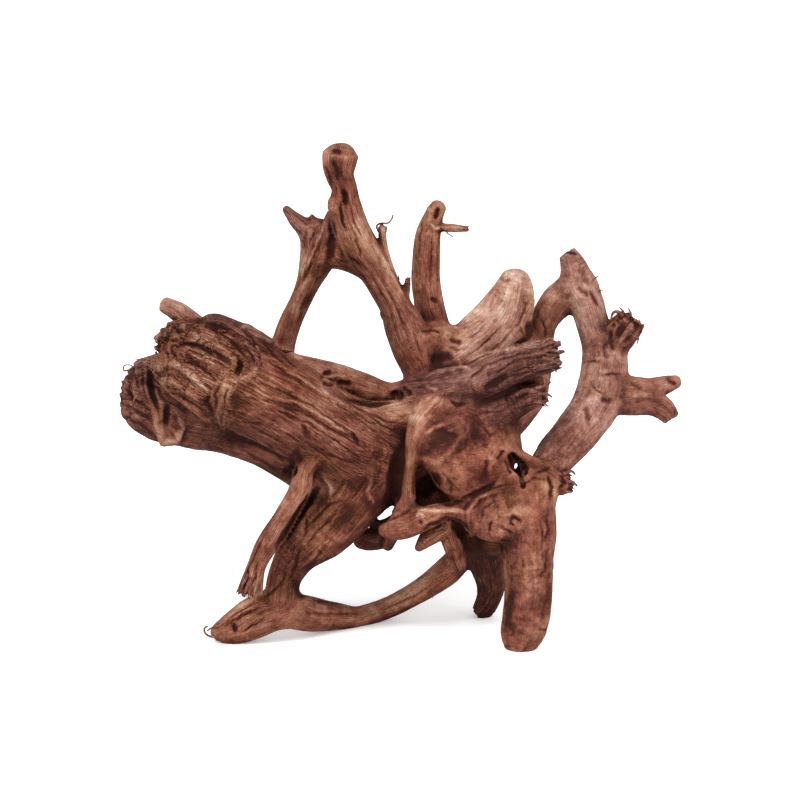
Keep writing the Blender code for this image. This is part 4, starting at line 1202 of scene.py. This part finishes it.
def laid_out(mesh):
    """Points in millimetres, normals and edges of a mesh."""
    points = np.empty((len(mesh.vertices), 3), np.float32)
    normals = np.empty((len(mesh.vertices), 3), np.float32)
    edges = np.empty((len(mesh.edges), 2), np.int32)
    mesh.vertices.foreach_get("co", points.reshape(-1))
    mesh.vertices.foreach_get("normal", normals.reshape(-1))
    mesh.edges.foreach_get("vertices", edges.reshape(-1))
    return points.astype(float) / MM, normals.astype(float), edges


def layers_of(found, count):
    """Puts each limb's grain on one of a few layers, so that limbs that meet use different ones."""
    holds = np.zeros((LAYERS, count))
    places = np.zeros((LAYERS, count, 3))
    taken = []
    for near, hold, place in found:
        load = [0.0] * LAYERS
        for other, layer in taken:
            load[layer] += np.isin(near, other, assume_unique=True).sum()
        layer = int(np.argmin(load))
        taken.append((near, layer))
        stronger = hold > holds[layer, near]
        spot = near[stronger]
        holds[layer, spot] = hold[stronger]
        places[layer, spot] = place[stronger]
    strength = holds**3
    return strength / np.maximum(strength.sum(0), 1e-9), places


def openness(field, low, points, normals):
    """How open the air in front of each point is, from 0 in a hollow to 1."""
    total = np.zeros(len(points))
    for reach in OPEN_REACHES:
        spot = ((points + normals * reach - low) / LATTICE).astype(int)
        column, row, level = np.clip(spot, 0, np.array(field.shape) - 1).T
        total += np.clip(field[column, row, level] / reach, 0, 1)
    return total / len(OPEN_REACHES)


def crests(points, normals, links, rounds):
    """How far each point stands above the skin around it, in millimetres."""
    smooth = points
    for _ in range(rounds):
        smooth = averaged(smooth, links, len(points))
    return ((points - smooth) * normals).sum(1)


def outward(limb, along):
    """The way the limb runs at places along it, towards whichever end is nearer."""
    way = np.column_stack([np.interp(along, limb.along, limb.ahead[:, k]) for k in range(3)])
    return np.where(along > limb.along[-1] / 2, 1.0, -1.0)[:, None] * way


def put(mesh, name, kind, values):
    """Writes an attribute of the mesh's points."""
    layer = mesh.attributes.new(name, kind, "POINT")
    field_name = "vector" if kind == "FLOAT_VECTOR" else "value"
    layer.data.foreach_set(field_name, np.ascontiguousarray(values, np.float32).reshape(-1))


def mark_skin(mesh, field, low):
    """Writes where each point lies in the grain, and how worn, torn, hollow or pale it is, and how much
    shade the material paints on it in creases, in hollows, on undersides and along dark strokes.
    """
    points, normals, edges = laid_out(mesh)
    links = np.vstack((edges, edges[:, ::-1]))
    with ThreadPoolExecutor(WORKERS) as pool:
        found = flow(points, pool)
    shares, places = layers_of(found, len(points))
    tone, grey, split, grain = np.zeros((4, len(points)))
    strand = np.zeros((len(points), 3))
    total = np.full(len(points), 1e-6)
    for limb, (near, hold, place) in zip(WOOD, found):
        along = place[:, 2] - GRAIN_SHIFT * limb.seed
        tone[near] += hold * limb.tone
        grey[near] += hold * limb.grey
        split[near] += hold * splitting(limb, along)
        grain[near] += hold * limb.grain
        strand[near] += hold[:, None] * outward(limb, along)
        total[near] += hold
    _, shade, crack_side, crack_open = strokes_on(points, normals)
    crest = np.zeros(len(points))
    for rounds, full in (SMALL_CREST, LARGE_CREST):
        crest += np.clip(crests(points, normals, links, rounds) / full, -1, 1) * 0.5
    off_floor = smooth_step(SPLINTERS_FROM, SPLINTERS_FULL, points[:, 2])
    for layer in range(LAYERS):
        put(mesh, f"place_{layer}", "FLOAT_VECTOR", places[layer])
        put(mesh, f"share_{layer}", "FLOAT", shares[layer])
    # tone: the limbs' tones, painted shade for those deep in recesses, and the strokes' pale marks
    put(mesh, "tone", "FLOAT", tone / total + np.clip(shade, 0, 1) * 0.9)
    put(mesh, "grey", "FLOAT", grey / total)
    put(mesh, "split", "FLOAT", split / total)
    put(mesh, "grain", "FLOAT", grain / total)
    put(mesh, "torn", "FLOAT", smooth_step(0.55, 0.95, split / total) * off_floor)
    put(mesh, "strand", "FLOAT_VECTOR", unit(strand))
    # dark: the strokes' darkening, partly painted shade in pits, grooves and shadowed places, partly
    # stains
    put(mesh, "dark", "FLOAT", np.clip(-shade, 0, 1.4))
    # crack_side and crack_open place the fine cracks, which the material darkens as painted shade
    put(mesh, "crack_side", "FLOAT", crack_side)
    put(mesh, "crack_open", "FLOAT", crack_open)
    # crest: the material pales ridges by it, as worn wood is, and darkens creases as painted shade
    put(mesh, "crest", "FLOAT", crest)
    # open: the material darkens hollows by it, as painted shade
    put(mesh, "open", "FLOAT", openness(field, low, points, normals))
    # under: the material darkens the undersides by it, as painted shade
    put(mesh, "under", "FLOAT", np.clip(-normals[:, 2], 0, 1))


class Nodes:
    """Short ways to add and join the nodes of one tree, of shader or of geometry nodes."""

    def __init__(self, tree):
        self.tree = tree
        self.count = 0

    def add(self, kind, inputs=None, **settings):
        node = self.tree.nodes.new(kind)
        node.location = (220 * (self.count % 12), -260 * (self.count // 12))
        self.count += 1
        for name, value in settings.items():
            setattr(node, name, value)
        for name, source in (inputs or {}).items():
            self.join(source, node.inputs[name])
        return node

    def join(self, source, target):
        if isinstance(source, bpy.types.NodeSocket):
            self.tree.links.new(source, target)
        else:
            target.default_value = source

    def math(self, operation, first, second=0.0, third=0.0, clamp=False):
        values = {0: first, 1: second, 2: third}
        return self.add("ShaderNodeMath", values, operation=operation, use_clamp=clamp).outputs[0]

    def shifted(self, value, source, centre, amount, clamp=False):
        """The value, moved by an amount for each unit that the source lies above its centre."""
        above = self.math("SUBTRACT", source, centre)
        return self.math("MULTIPLY_ADD", above, amount, value, clamp)

    def vector(self, operation, first, second):
        values = {0: first, "Scale" if operation == "SCALE" else 1: second}
        return self.add("ShaderNodeVectorMath", values, operation=operation).outputs[0]

    def noise(self, place, scale=1.0, detail=2.0, rough=0.6, part="Fac"):
        values = {"Vector": place, "Scale": scale, "Detail": detail, "Roughness": rough}
        return self.add("ShaderNodeTexNoise", values).outputs[part]

    def range(self, value, low, high, new_low=0.0, new_high=1.0):
        values = {0: value, 1: low, 2: high, 3: new_low, 4: new_high}
        node = self.add("ShaderNodeMapRange", values, interpolation_type="SMOOTHSTEP")
        return node.outputs[0]

    def mixed(self, amount, first, second):
        values = {"Factor": amount, 6: first, 7: second}
        return self.add("ShaderNodeMix", values, data_type="RGBA").outputs[2]

    def attribute(self, name, part="Fac"):
        return self.add("ShaderNodeAttribute", attribute_name=name).outputs[part]

    def named(self, name, kind):
        """An attribute in a tree of geometry nodes."""
        node = self.add("GeometryNodeInputNamedAttribute", {"Name": name}, data_type=kind)
        return node.outputs["Attribute"]

    def random(self, low, high, seed):
        return self.add("FunctionNodeRandomValue", {2: low, 3: high, "Seed": seed}).outputs[1]

    def ramp(self, value, stops):
        """The colour at the value, between the stops on either side of it."""
        node = self.add("ShaderNodeValToRGB", {"Fac": value})
        band = node.color_ramp
        band.elements[0].position, band.elements[0].color = stops[0][0], (*stops[0][1], 1)
        band.elements[1].position, band.elements[1].color = stops[-1][0], (*stops[-1][1], 1)
        for place, colour in stops[1:-1]:
            band.elements.new(place).color = (*colour, 1)
        return node.outputs["Color"]


def new_group(name, kind, inputs, outputs):
    """A node group whose inputs and outputs are label and kind, and a value if it isn't 0."""
    tree = bpy.data.node_groups.new(name, kind)
    for in_out, sockets in (("INPUT", inputs), ("OUTPUT", outputs)):
        for label, socket, *value in sockets:
            made = tree.interface.new_socket(
                label, in_out=in_out, socket_type=f"NodeSocket{socket}"
            )
            if value:
                made.default_value = value[0]
    return tree


def grain_group():
    """Long wood grain at a place in a limb: streaks, dark seams between fibres, and height."""
    inputs = (
        ("Place", "Vector"),
        ("Streak Width", "Float", 0.95),
        ("Streak Length", "Float", 34.0),
        ("Sway", "Float", 6.0),
    )
    tree = new_group("long_grain", "ShaderNodeTree", inputs, [(n, "Float") for n in GRAIN_PARTS])
    nodes = Nodes(tree)
    given = nodes.add("NodeGroupInput").outputs
    far = nodes.vector("DIVIDE", given["Place"], (30.0, 30.0, 60.0))
    drift = nodes.noise(far, detail=1.0, rough=0.5, part="Color")
    sway = nodes.vector("SUBTRACT", drift, (0.5, 0.5, 0.5))
    sway = nodes.vector("SCALE", sway, given["Sway"])
    place = nodes.vector("ADD", given["Place"], nodes.vector("MULTIPLY", sway, (1.0, 1.0, 0.3)))
    across, along = given["Streak Width"], given["Streak Length"]
    size = nodes.add("ShaderNodeCombineXYZ", {"X": across, "Y": across, "Z": along})
    local = nodes.vector("DIVIDE", place, size.outputs[0])
    streak = nodes.noise(local, detail=4.0, rough=0.65)
    hair = nodes.noise(nodes.vector("MULTIPLY", local, (2.1, 2.1, 2.2)))
    line = nodes.noise(nodes.vector("MULTIPLY", local, (0.4, 0.4, 0.8)), detail=2.5, rough=0.55)
    crack = nodes.math("ABSOLUTE", nodes.math("SUBTRACT", line, 0.5))
    seam = nodes.range(crack, 0.0, 0.022, 1.0, 0.0)
    patch = nodes.noise(nodes.vector("DIVIDE", place, (14.0, 14.0, 32.0)), detail=1.0, rough=0.5)
    seam = nodes.math("MULTIPLY", seam, nodes.range(patch, 0.35, 0.65))
    both = nodes.math("MULTIPLY", streak, 0.6)
    both = nodes.math("ADD", both, nodes.math("MULTIPLY", hair, 0.4))
    height = nodes.math("SUBTRACT", both, nodes.math("MULTIPLY", seam, 0.35))
    hue = nodes.noise(nodes.vector("DIVIDE", place, (5.0, 5.0, 45.0)), detail=3.0)
    parts = (nodes.range(both, 0.30, 0.70), seam, height, hue)
    nodes.add("NodeGroupOutput", dict(zip(GRAIN_PARTS, parts)))
    return tree


def grain_on(nodes):
    """The parts of the grain, each layer's by its share of the skin."""
    group = grain_group()
    shares = [nodes.attribute(f"share_{layer}") for layer in range(LAYERS)]
    totals = {}
    for layer, share in enumerate(shares):
        place = nodes.attribute(f"place_{layer}", "Vector")
        grain = nodes.add("ShaderNodeGroup", node_tree=group)
        nodes.join(place, grain.inputs["Place"])
        for name in GRAIN_PARTS:
            part = nodes.math("MULTIPLY", grain.outputs[name], share)
            totals[name] = nodes.math("ADD", totals[name], part) if name in totals else part
    return [totals[name] for name in GRAIN_PARTS]


def cracks_on(nodes, here, marks):
    """Fine cracks along the onlooker's strokes, which waver and close here and there."""
    # The material darkens these cracks as painted shade and sinks them in its bump
    waver = nodes.noise(here, 420.0)
    gap = nodes.shifted(marks["crack_side"], waver, 0.5, 3.0)
    crack = nodes.range(nodes.math("ABSOLUTE", gap), 0.2, 1.2, 1.0, 0.0)
    broken = nodes.noise(here, 95.0, rough=0.5)
    crack = nodes.math("MULTIPLY", crack, nodes.range(broken, 0.40, 0.58, 0.15, 1.0))
    return nodes.math("MULTIPLY", crack, marks["crack_open"])


def coloured(nodes, here, value, hue, grey):
    """Brown wood that turns redder, more ochre or greyer in places."""
    ruddy = nodes.noise(here, 13.0, rough=0.5)
    ochre = nodes.noise(here, 19.0, rough=0.5)
    redder = nodes.range(ruddy, 0.48, 0.68, 0.0, 0.7)
    warmer = nodes.range(nodes.shifted(ochre, hue, 0.5, 0.5), 0.42, 0.66, 0.0, 0.85)
    greyer = nodes.math("MULTIPLY", nodes.shifted(grey, hue, 0.5, -0.9, clamp=True), 0.9)
    colour = nodes.ramp(value, BROWNS)
    for amount, stops in ((redder, REDS), (warmer, OCHRES), (greyer, GREYS)):
        colour = nodes.mixed(amount, colour, nodes.ramp(value, stops))
    return colour


def new_material(name):
    """A material, its nodes and its shader."""
    material = bpy.data.materials.new(name)
    material.use_nodes = True
    return material, Nodes(material.node_tree), material.node_tree.nodes["Principled BSDF"]


def wood_material():
    """Dry root wood: brown to tan along the grain, purple-grey where torn, with painted shade in its
    cracks, creases, hollows and undersides and along dark strokes.
    """
    material, nodes, shader = new_material("root_wood")
    streak, seam, height, hue = grain_on(nodes)
    marks = {name: nodes.attribute(name) for name in MARKS}
    here = nodes.add("ShaderNodeTexCoord").outputs["Object"]
    cloud = nodes.noise(here, 22.0, 4.0)
    blotch = nodes.noise(here, 105.0, 5.0, 0.65)
    pores = nodes.noise(here, 1050.0)
    specks = nodes.range(nodes.noise(here, 330.0), 0.64, 0.72)
    crack = cracks_on(nodes, here, marks)
    mottle = nodes.math("MULTIPLY_ADD", marks["grain"], -0.65, 1.0)
    mottle = nodes.math("MULTIPLY", nodes.math("SUBTRACT", blotch, 0.5), mottle)
    strands = nodes.math("MULTIPLY_ADD", marks["grain"], 0.8, 0.2)
    strands = nodes.math("MULTIPLY", strands, nodes.math("MULTIPLY_ADD", marks["split"], 0.7, 1.0))
    value = MIDDLE_TONE
    for source, centre, amount in (
        (streak, 0.5, nodes.math("MULTIPLY", strands, STREAK_CONTRAST)),
        (cloud, 0.5, 0.90),
        (mottle, 0.0, 0.85),
        # The limbs' tones, painted shade for the limbs deep in recesses, and the strokes' pale marks
        (marks["tone"], 0.0, 0.27),
        # Paler on ridges, as worn wood is, and darker in creases, which is painted shade
        (marks["crest"], 0.0, 0.15),
        # Painted shade in hollows, where little open air lies in front of the skin
        (marks["open"], 0.85, 0.46),
        # Painted shade on the undersides
        (marks["under"], 0.0, -0.18),
        # The strokes' darkening, here and on the next line: partly painted shade, partly stains
        (marks["dark"], 0.0, -0.15),
        (nodes.math("POWER", marks["dark"], 3.0), 0.0, -0.05),
        (nodes.math("MULTIPLY", seam, strands), 0.0, -0.09),
        # Painted shade in the fine cracks
        (crack, 0.0, -0.22),
        (specks, 0.0, -0.10),
        (pores, 0.5, 0.44),
        (marks["split"], 0.0, -0.03),
    ):
        value = nodes.shifted(value, source, centre, amount)
    value = nodes.math("MAXIMUM", value, 0.05)
    rise = nodes.math("MULTIPLY_ADD", pores, 0.26, nodes.math("MULTIPLY", height, strands))
    rise = nodes.math("MULTIPLY_ADD", blotch, 0.25, rise)
    rise = nodes.math("MULTIPLY_ADD", crack, -0.45, rise)
    relief = {"Height": rise, "Strength": 1.0, "Distance": BUMP_DEPTH * MM}
    bump = nodes.add("ShaderNodeBump", relief)
    colour = coloured(nodes, here, value, hue, marks["grey"])
    nodes.join(colour, shader.inputs["Base Color"])
    nodes.join(nodes.range(value, 0.1, 0.9, 0.85, 0.6), shader.inputs["Roughness"])
    nodes.join(bump.outputs["Normal"], shader.inputs["Normal"])
    shader.inputs["Specular IOR Level"].default_value = DRY_SHEEN
    return material


def loose_material():
    """Dry fibre: brown to tan, lighter towards some ends than others."""
    material, nodes, shader = new_material("loose_fibre")
    here = nodes.add("ShaderNodeTexCoord").outputs["Object"]
    value = nodes.shifted(LOOSE_TONE, nodes.noise(here, 160.0), 0.5, 0.9)
    value = nodes.shifted(value, nodes.noise(here, 900.0), 0.5, 0.4)
    colour = nodes.mixed(0.55, nodes.ramp(value, BROWNS), nodes.ramp(value, GREYS))
    nodes.join(colour, shader.inputs["Base Color"])
    shader.inputs["Roughness"].default_value = 0.8
    shader.inputs["Specular IOR Level"].default_value = DRY_SHEEN
    return material


def growing_group(name, inputs):
    """A group that makes geometry of geometry, its nodes and what it is given."""
    geometry = [("Geometry", "Geometry")]
    inputs = geometry + inputs + [("Material", "Material")]
    tree = new_group(name, "GeometryNodeTree", inputs, geometry)
    nodes = Nodes(tree)
    return tree, nodes, nodes.add("NodeGroupInput").outputs


def put_out(nodes, geometry, material):
    """Makes real faces of the instances, and gives them the material."""
    real = nodes.add("GeometryNodeRealizeInstances", {"Geometry": geometry})
    values = {"Geometry": real.outputs[0], "Material": material}
    painted = nodes.add("GeometryNodeSetMaterial", values)
    nodes.add("NodeGroupOutput", {"Geometry": painted.outputs[0]})


def splinter_group():
    """Thin splinters standing off the torn ends, along the way their limb runs."""
    inputs = [("Density", "Float"), ("Thickness", "Float"), ("Length", "Float"), ("Seed", "Int")]
    tree, nodes, given = growing_group("torn_splinters", inputs)
    density = nodes.math("MULTIPLY", given["Density"], nodes.named("torn", "FLOAT"))
    values = {"Mesh": given["Geometry"], "Density": density, "Seed": given["Seed"]}
    spread = nodes.add("GeometryNodeDistributePointsOnFaces", values).outputs
    seeds = [nodes.math("ADD", given["Seed"], float(n)) for n in (1, 2, 3)]
    lean = nodes.vector("SCALE", spread["Normal"], nodes.random(0.05, 0.40, seeds[0]))
    way = nodes.vector("ADD", nodes.named("strand", "FLOAT_VECTOR"), lean)
    turned = nodes.add("FunctionNodeAlignRotationToVector", {"Vector": way}, axis="Z")
    wide = nodes.math("MULTIPLY", nodes.random(0.5, 1.2, seeds[1]), given["Thickness"])
    tall = nodes.math("MULTIPLY", nodes.random(0.35, 1.3, seeds[2]), given["Length"])
    size = nodes.add("ShaderNodeCombineXYZ", {"X": wide, "Y": wide, "Z": tall})
    spike = {"Vertices": 5, "Side Segments": 3, "Radius Top": 0.12, "Radius Bottom": 1.0, "Depth": 1.0}
    cone = nodes.add("GeometryNodeMeshCone", spike)
    values = {"Geometry": cone.outputs["Mesh"], "Translation": (0, 0, -0.3)}
    sunk = nodes.add("GeometryNodeTransform", values)
    values = {
        "Points": spread["Points"],
        "Instance": sunk.outputs[0],
        "Rotation": turned.outputs[0],
        "Scale": size.outputs[0],
    }
    put_out(nodes, nodes.add("GeometryNodeInstanceOnPoints", values).outputs[0], given["Material"])
    return tree


def rootlet_group():
    """Round rootlets along their lines, thin at the tip, with a slight kink all the way."""
    tree, nodes, given = growing_group("rootlets", [("Step", "Float"), ("Kink", "Float")])
    lines = nodes.add("GeometryNodeMeshToCurve", {"Mesh": given["Geometry"]})
    values = {"Curve": lines.outputs[0]}
    smooth = nodes.add("GeometryNodeCurveSplineType", values, spline_type="CATMULL_ROM")
    even = nodes.add("GeometryNodeResampleCurve", {"Curve": smooth.outputs[0]}, mode="LENGTH")
    nodes.join(given["Step"], even.inputs["Length"])
    wander = nodes.add("ShaderNodeTexNoise", {"Scale": 260.0, "Detail": 1.0})
    kink = nodes.vector("SUBTRACT", wander.outputs["Color"], (0.5, 0.5, 0.5))
    kink = nodes.vector("SCALE", kink, given["Kink"])
    bent = nodes.add("GeometryNodeSetPosition", {"Geometry": even.outputs[0], "Offset": kink})
    ring = nodes.add("GeometryNodeCurvePrimitiveCircle", {"Resolution": 7, "Radius": 1.0})
    values = {
        "Curve": bent.outputs[0],
        "Profile Curve": ring.outputs["Curve"],
        "Scale": nodes.named("thick", "FLOAT"),
        "Fill Caps": True,
    }
    put_out(nodes, nodes.add("GeometryNodeCurveToMesh", values).outputs[0], given["Material"])
    return tree


def grown(made, group, values):
    """The object with what the group makes of it as its mesh, and its inputs set by name."""
    work = made.modifiers.new(group.name, "NODES")
    work.node_group = group
    for item in group.interface.items_tree:
        if item.in_out == "INPUT" and item.name in values:
            work[item.identifier] = values[item.name]
    return applied(made)


def rootlet_lines():
    """The rootlets' lines as edges, with their thickness, in an object of their own."""
    spots, edges, thick = [], [], []
    for foot, tip, line in ROOTLETS:
        line = np.array(line, float)
        first = len(spots)
        spots.extend(seen(line[:, 0], line[:, 1], line[:, 2]))
        edges += [(first + n, first + n + 1) for n in range(len(line) - 1)]
        thick.extend(np.linspace(foot, tip, len(line)) * MM)
    mesh = bpy.data.meshes.new("rootlets")
    mesh.from_pydata((np.array(spots) * MM).tolist(), edges, [])
    put(mesh, "thick", "FLOAT", thick)
    return placed("rootlets", mesh)


def grow_skin():
    """The root's skin with its marks and its material."""
    points, quads, field, low = grow_root()
    front = (hidden_by(points)[2] < REACH) & (facing(normals_of(points, quads)) > 0.0)
    made = thinned(mesh_of("mangrove_root_skin", points, quads), front)
    made.data.polygons.foreach_set("use_smooth", np.ones(len(made.data.polygons), bool))
    mark_skin(made.data, field, low)
    made.data.materials.append(wood_material())
    return made


def grow_splinters(skin, fibre):
    """The splinters on the skin's torn ends."""
    sizes = {
        "Density": SPLINTER_DENSITY,
        "Thickness": SPLINTER_THICKNESS * MM,
        "Length": SPLINTER_LENGTH * MM,
        "Seed": 4,
        "Material": fibre,
    }
    return grown(placed("torn_splinters", skin.data.copy()), splinter_group(), sizes)


def grow_rootlets(fibre):
    """The hair-thin roots and loose fibres."""
    sizes = {"Step": ROOTLET_STEP * MM, "Kink": ROOTLET_KINK * MM, "Material": fibre}
    return grown(rootlet_lines(), rootlet_group(), sizes)


def add_floor():
    """A plain white floor, which glows faintly so that it melts into the background."""
    corners = [(x * FLOOR_HALF, y * FLOOR_HALF, 0) for x, y in ((-1, -1), (1, -1), (1, 1), (-1, 1))]
    mesh = bpy.data.meshes.new("studio_floor")
    mesh.from_pydata(corners, [], [(0, 1, 2, 3)])
    floor = placed("studio_floor", mesh)
    white, _, shader = new_material("studio_white")
    shader.inputs["Base Color"].default_value = (0.92, 0.92, 0.92, 1)
    shader.inputs["Roughness"].default_value = 0.9
    shader.inputs["Emission Color"].default_value = (1, 1, 1, 1)
    shader.inputs["Emission Strength"].default_value = FLOOR_GLOW
    mesh.materials.append(white)


def aimed(thing, place, target):
    """Puts a light or a camera at a place, looking at the target."""
    thing.location = place
    thing.rotation_mode = "QUATERNION"
    thing.rotation_quaternion = (target - thing.location).to_track_quat("-Z", "Y")


def add_world():
    """White surroundings that look brighter straight on than the light they give."""
    world = bpy.data.worlds.new("studio")
    world.use_nodes = True
    nodes = Nodes(world.node_tree)
    sky = world.node_tree.nodes["Background"].inputs
    sky["Color"].default_value = (1, 1, 1, 1)
    straight = nodes.add("ShaderNodeLightPath").outputs["Is Camera Ray"]
    strength = nodes.math("MULTIPLY_ADD", straight, 1.0 - WORLD_LIGHT, WORLD_LIGHT)
    nodes.join(strength, sky["Strength"])
    bpy.context.scene.world = world


def add_lights():
    """Wide, soft suns from the front and the sides."""
    for name, place, power, angle in SOFT_SUNS:
        light = bpy.data.lights.new(name, "SUN")
        light.energy = power
        light.angle = math.radians(angle)
        aimed(placed(name, light), Vector(place), Vector((0, 0, 0)))


def add_camera():
    """The camera where the onlooker stands."""
    lens = bpy.data.cameras.new("camera")
    lens.sensor_width = SENSOR_WIDTH
    lens.lens = SENSOR_WIDTH * EYE_DISTANCE / PICTURE_WIDTH
    camera = placed("camera", lens)
    middle = Vector((AIM_ACROSS - MIDDLE[0], -MIDDLE[1], AIM_HEIGHT)) * MM
    aimed(camera, middle - Vector(FORWARD) * EYE_DISTANCE * MM, middle)
    bpy.context.scene.camera = camera
    bpy.context.scene.view_settings.view_transform = "Standard"


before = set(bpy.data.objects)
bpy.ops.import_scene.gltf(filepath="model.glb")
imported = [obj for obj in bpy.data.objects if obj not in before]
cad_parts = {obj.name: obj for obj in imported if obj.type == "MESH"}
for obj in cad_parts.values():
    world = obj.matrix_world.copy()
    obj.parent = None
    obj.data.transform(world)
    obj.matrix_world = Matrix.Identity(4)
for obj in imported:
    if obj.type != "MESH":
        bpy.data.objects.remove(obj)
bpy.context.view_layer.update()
root = grow_skin()
fibre = loose_material()
splinters = grow_splinters(root, fibre)
rootlets = grow_rootlets(fibre)
for piece in (root, splinters, rootlets):
    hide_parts("mangrove_root")
    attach(piece, "root")
add_floor()
add_world()
add_lights()
add_camera()
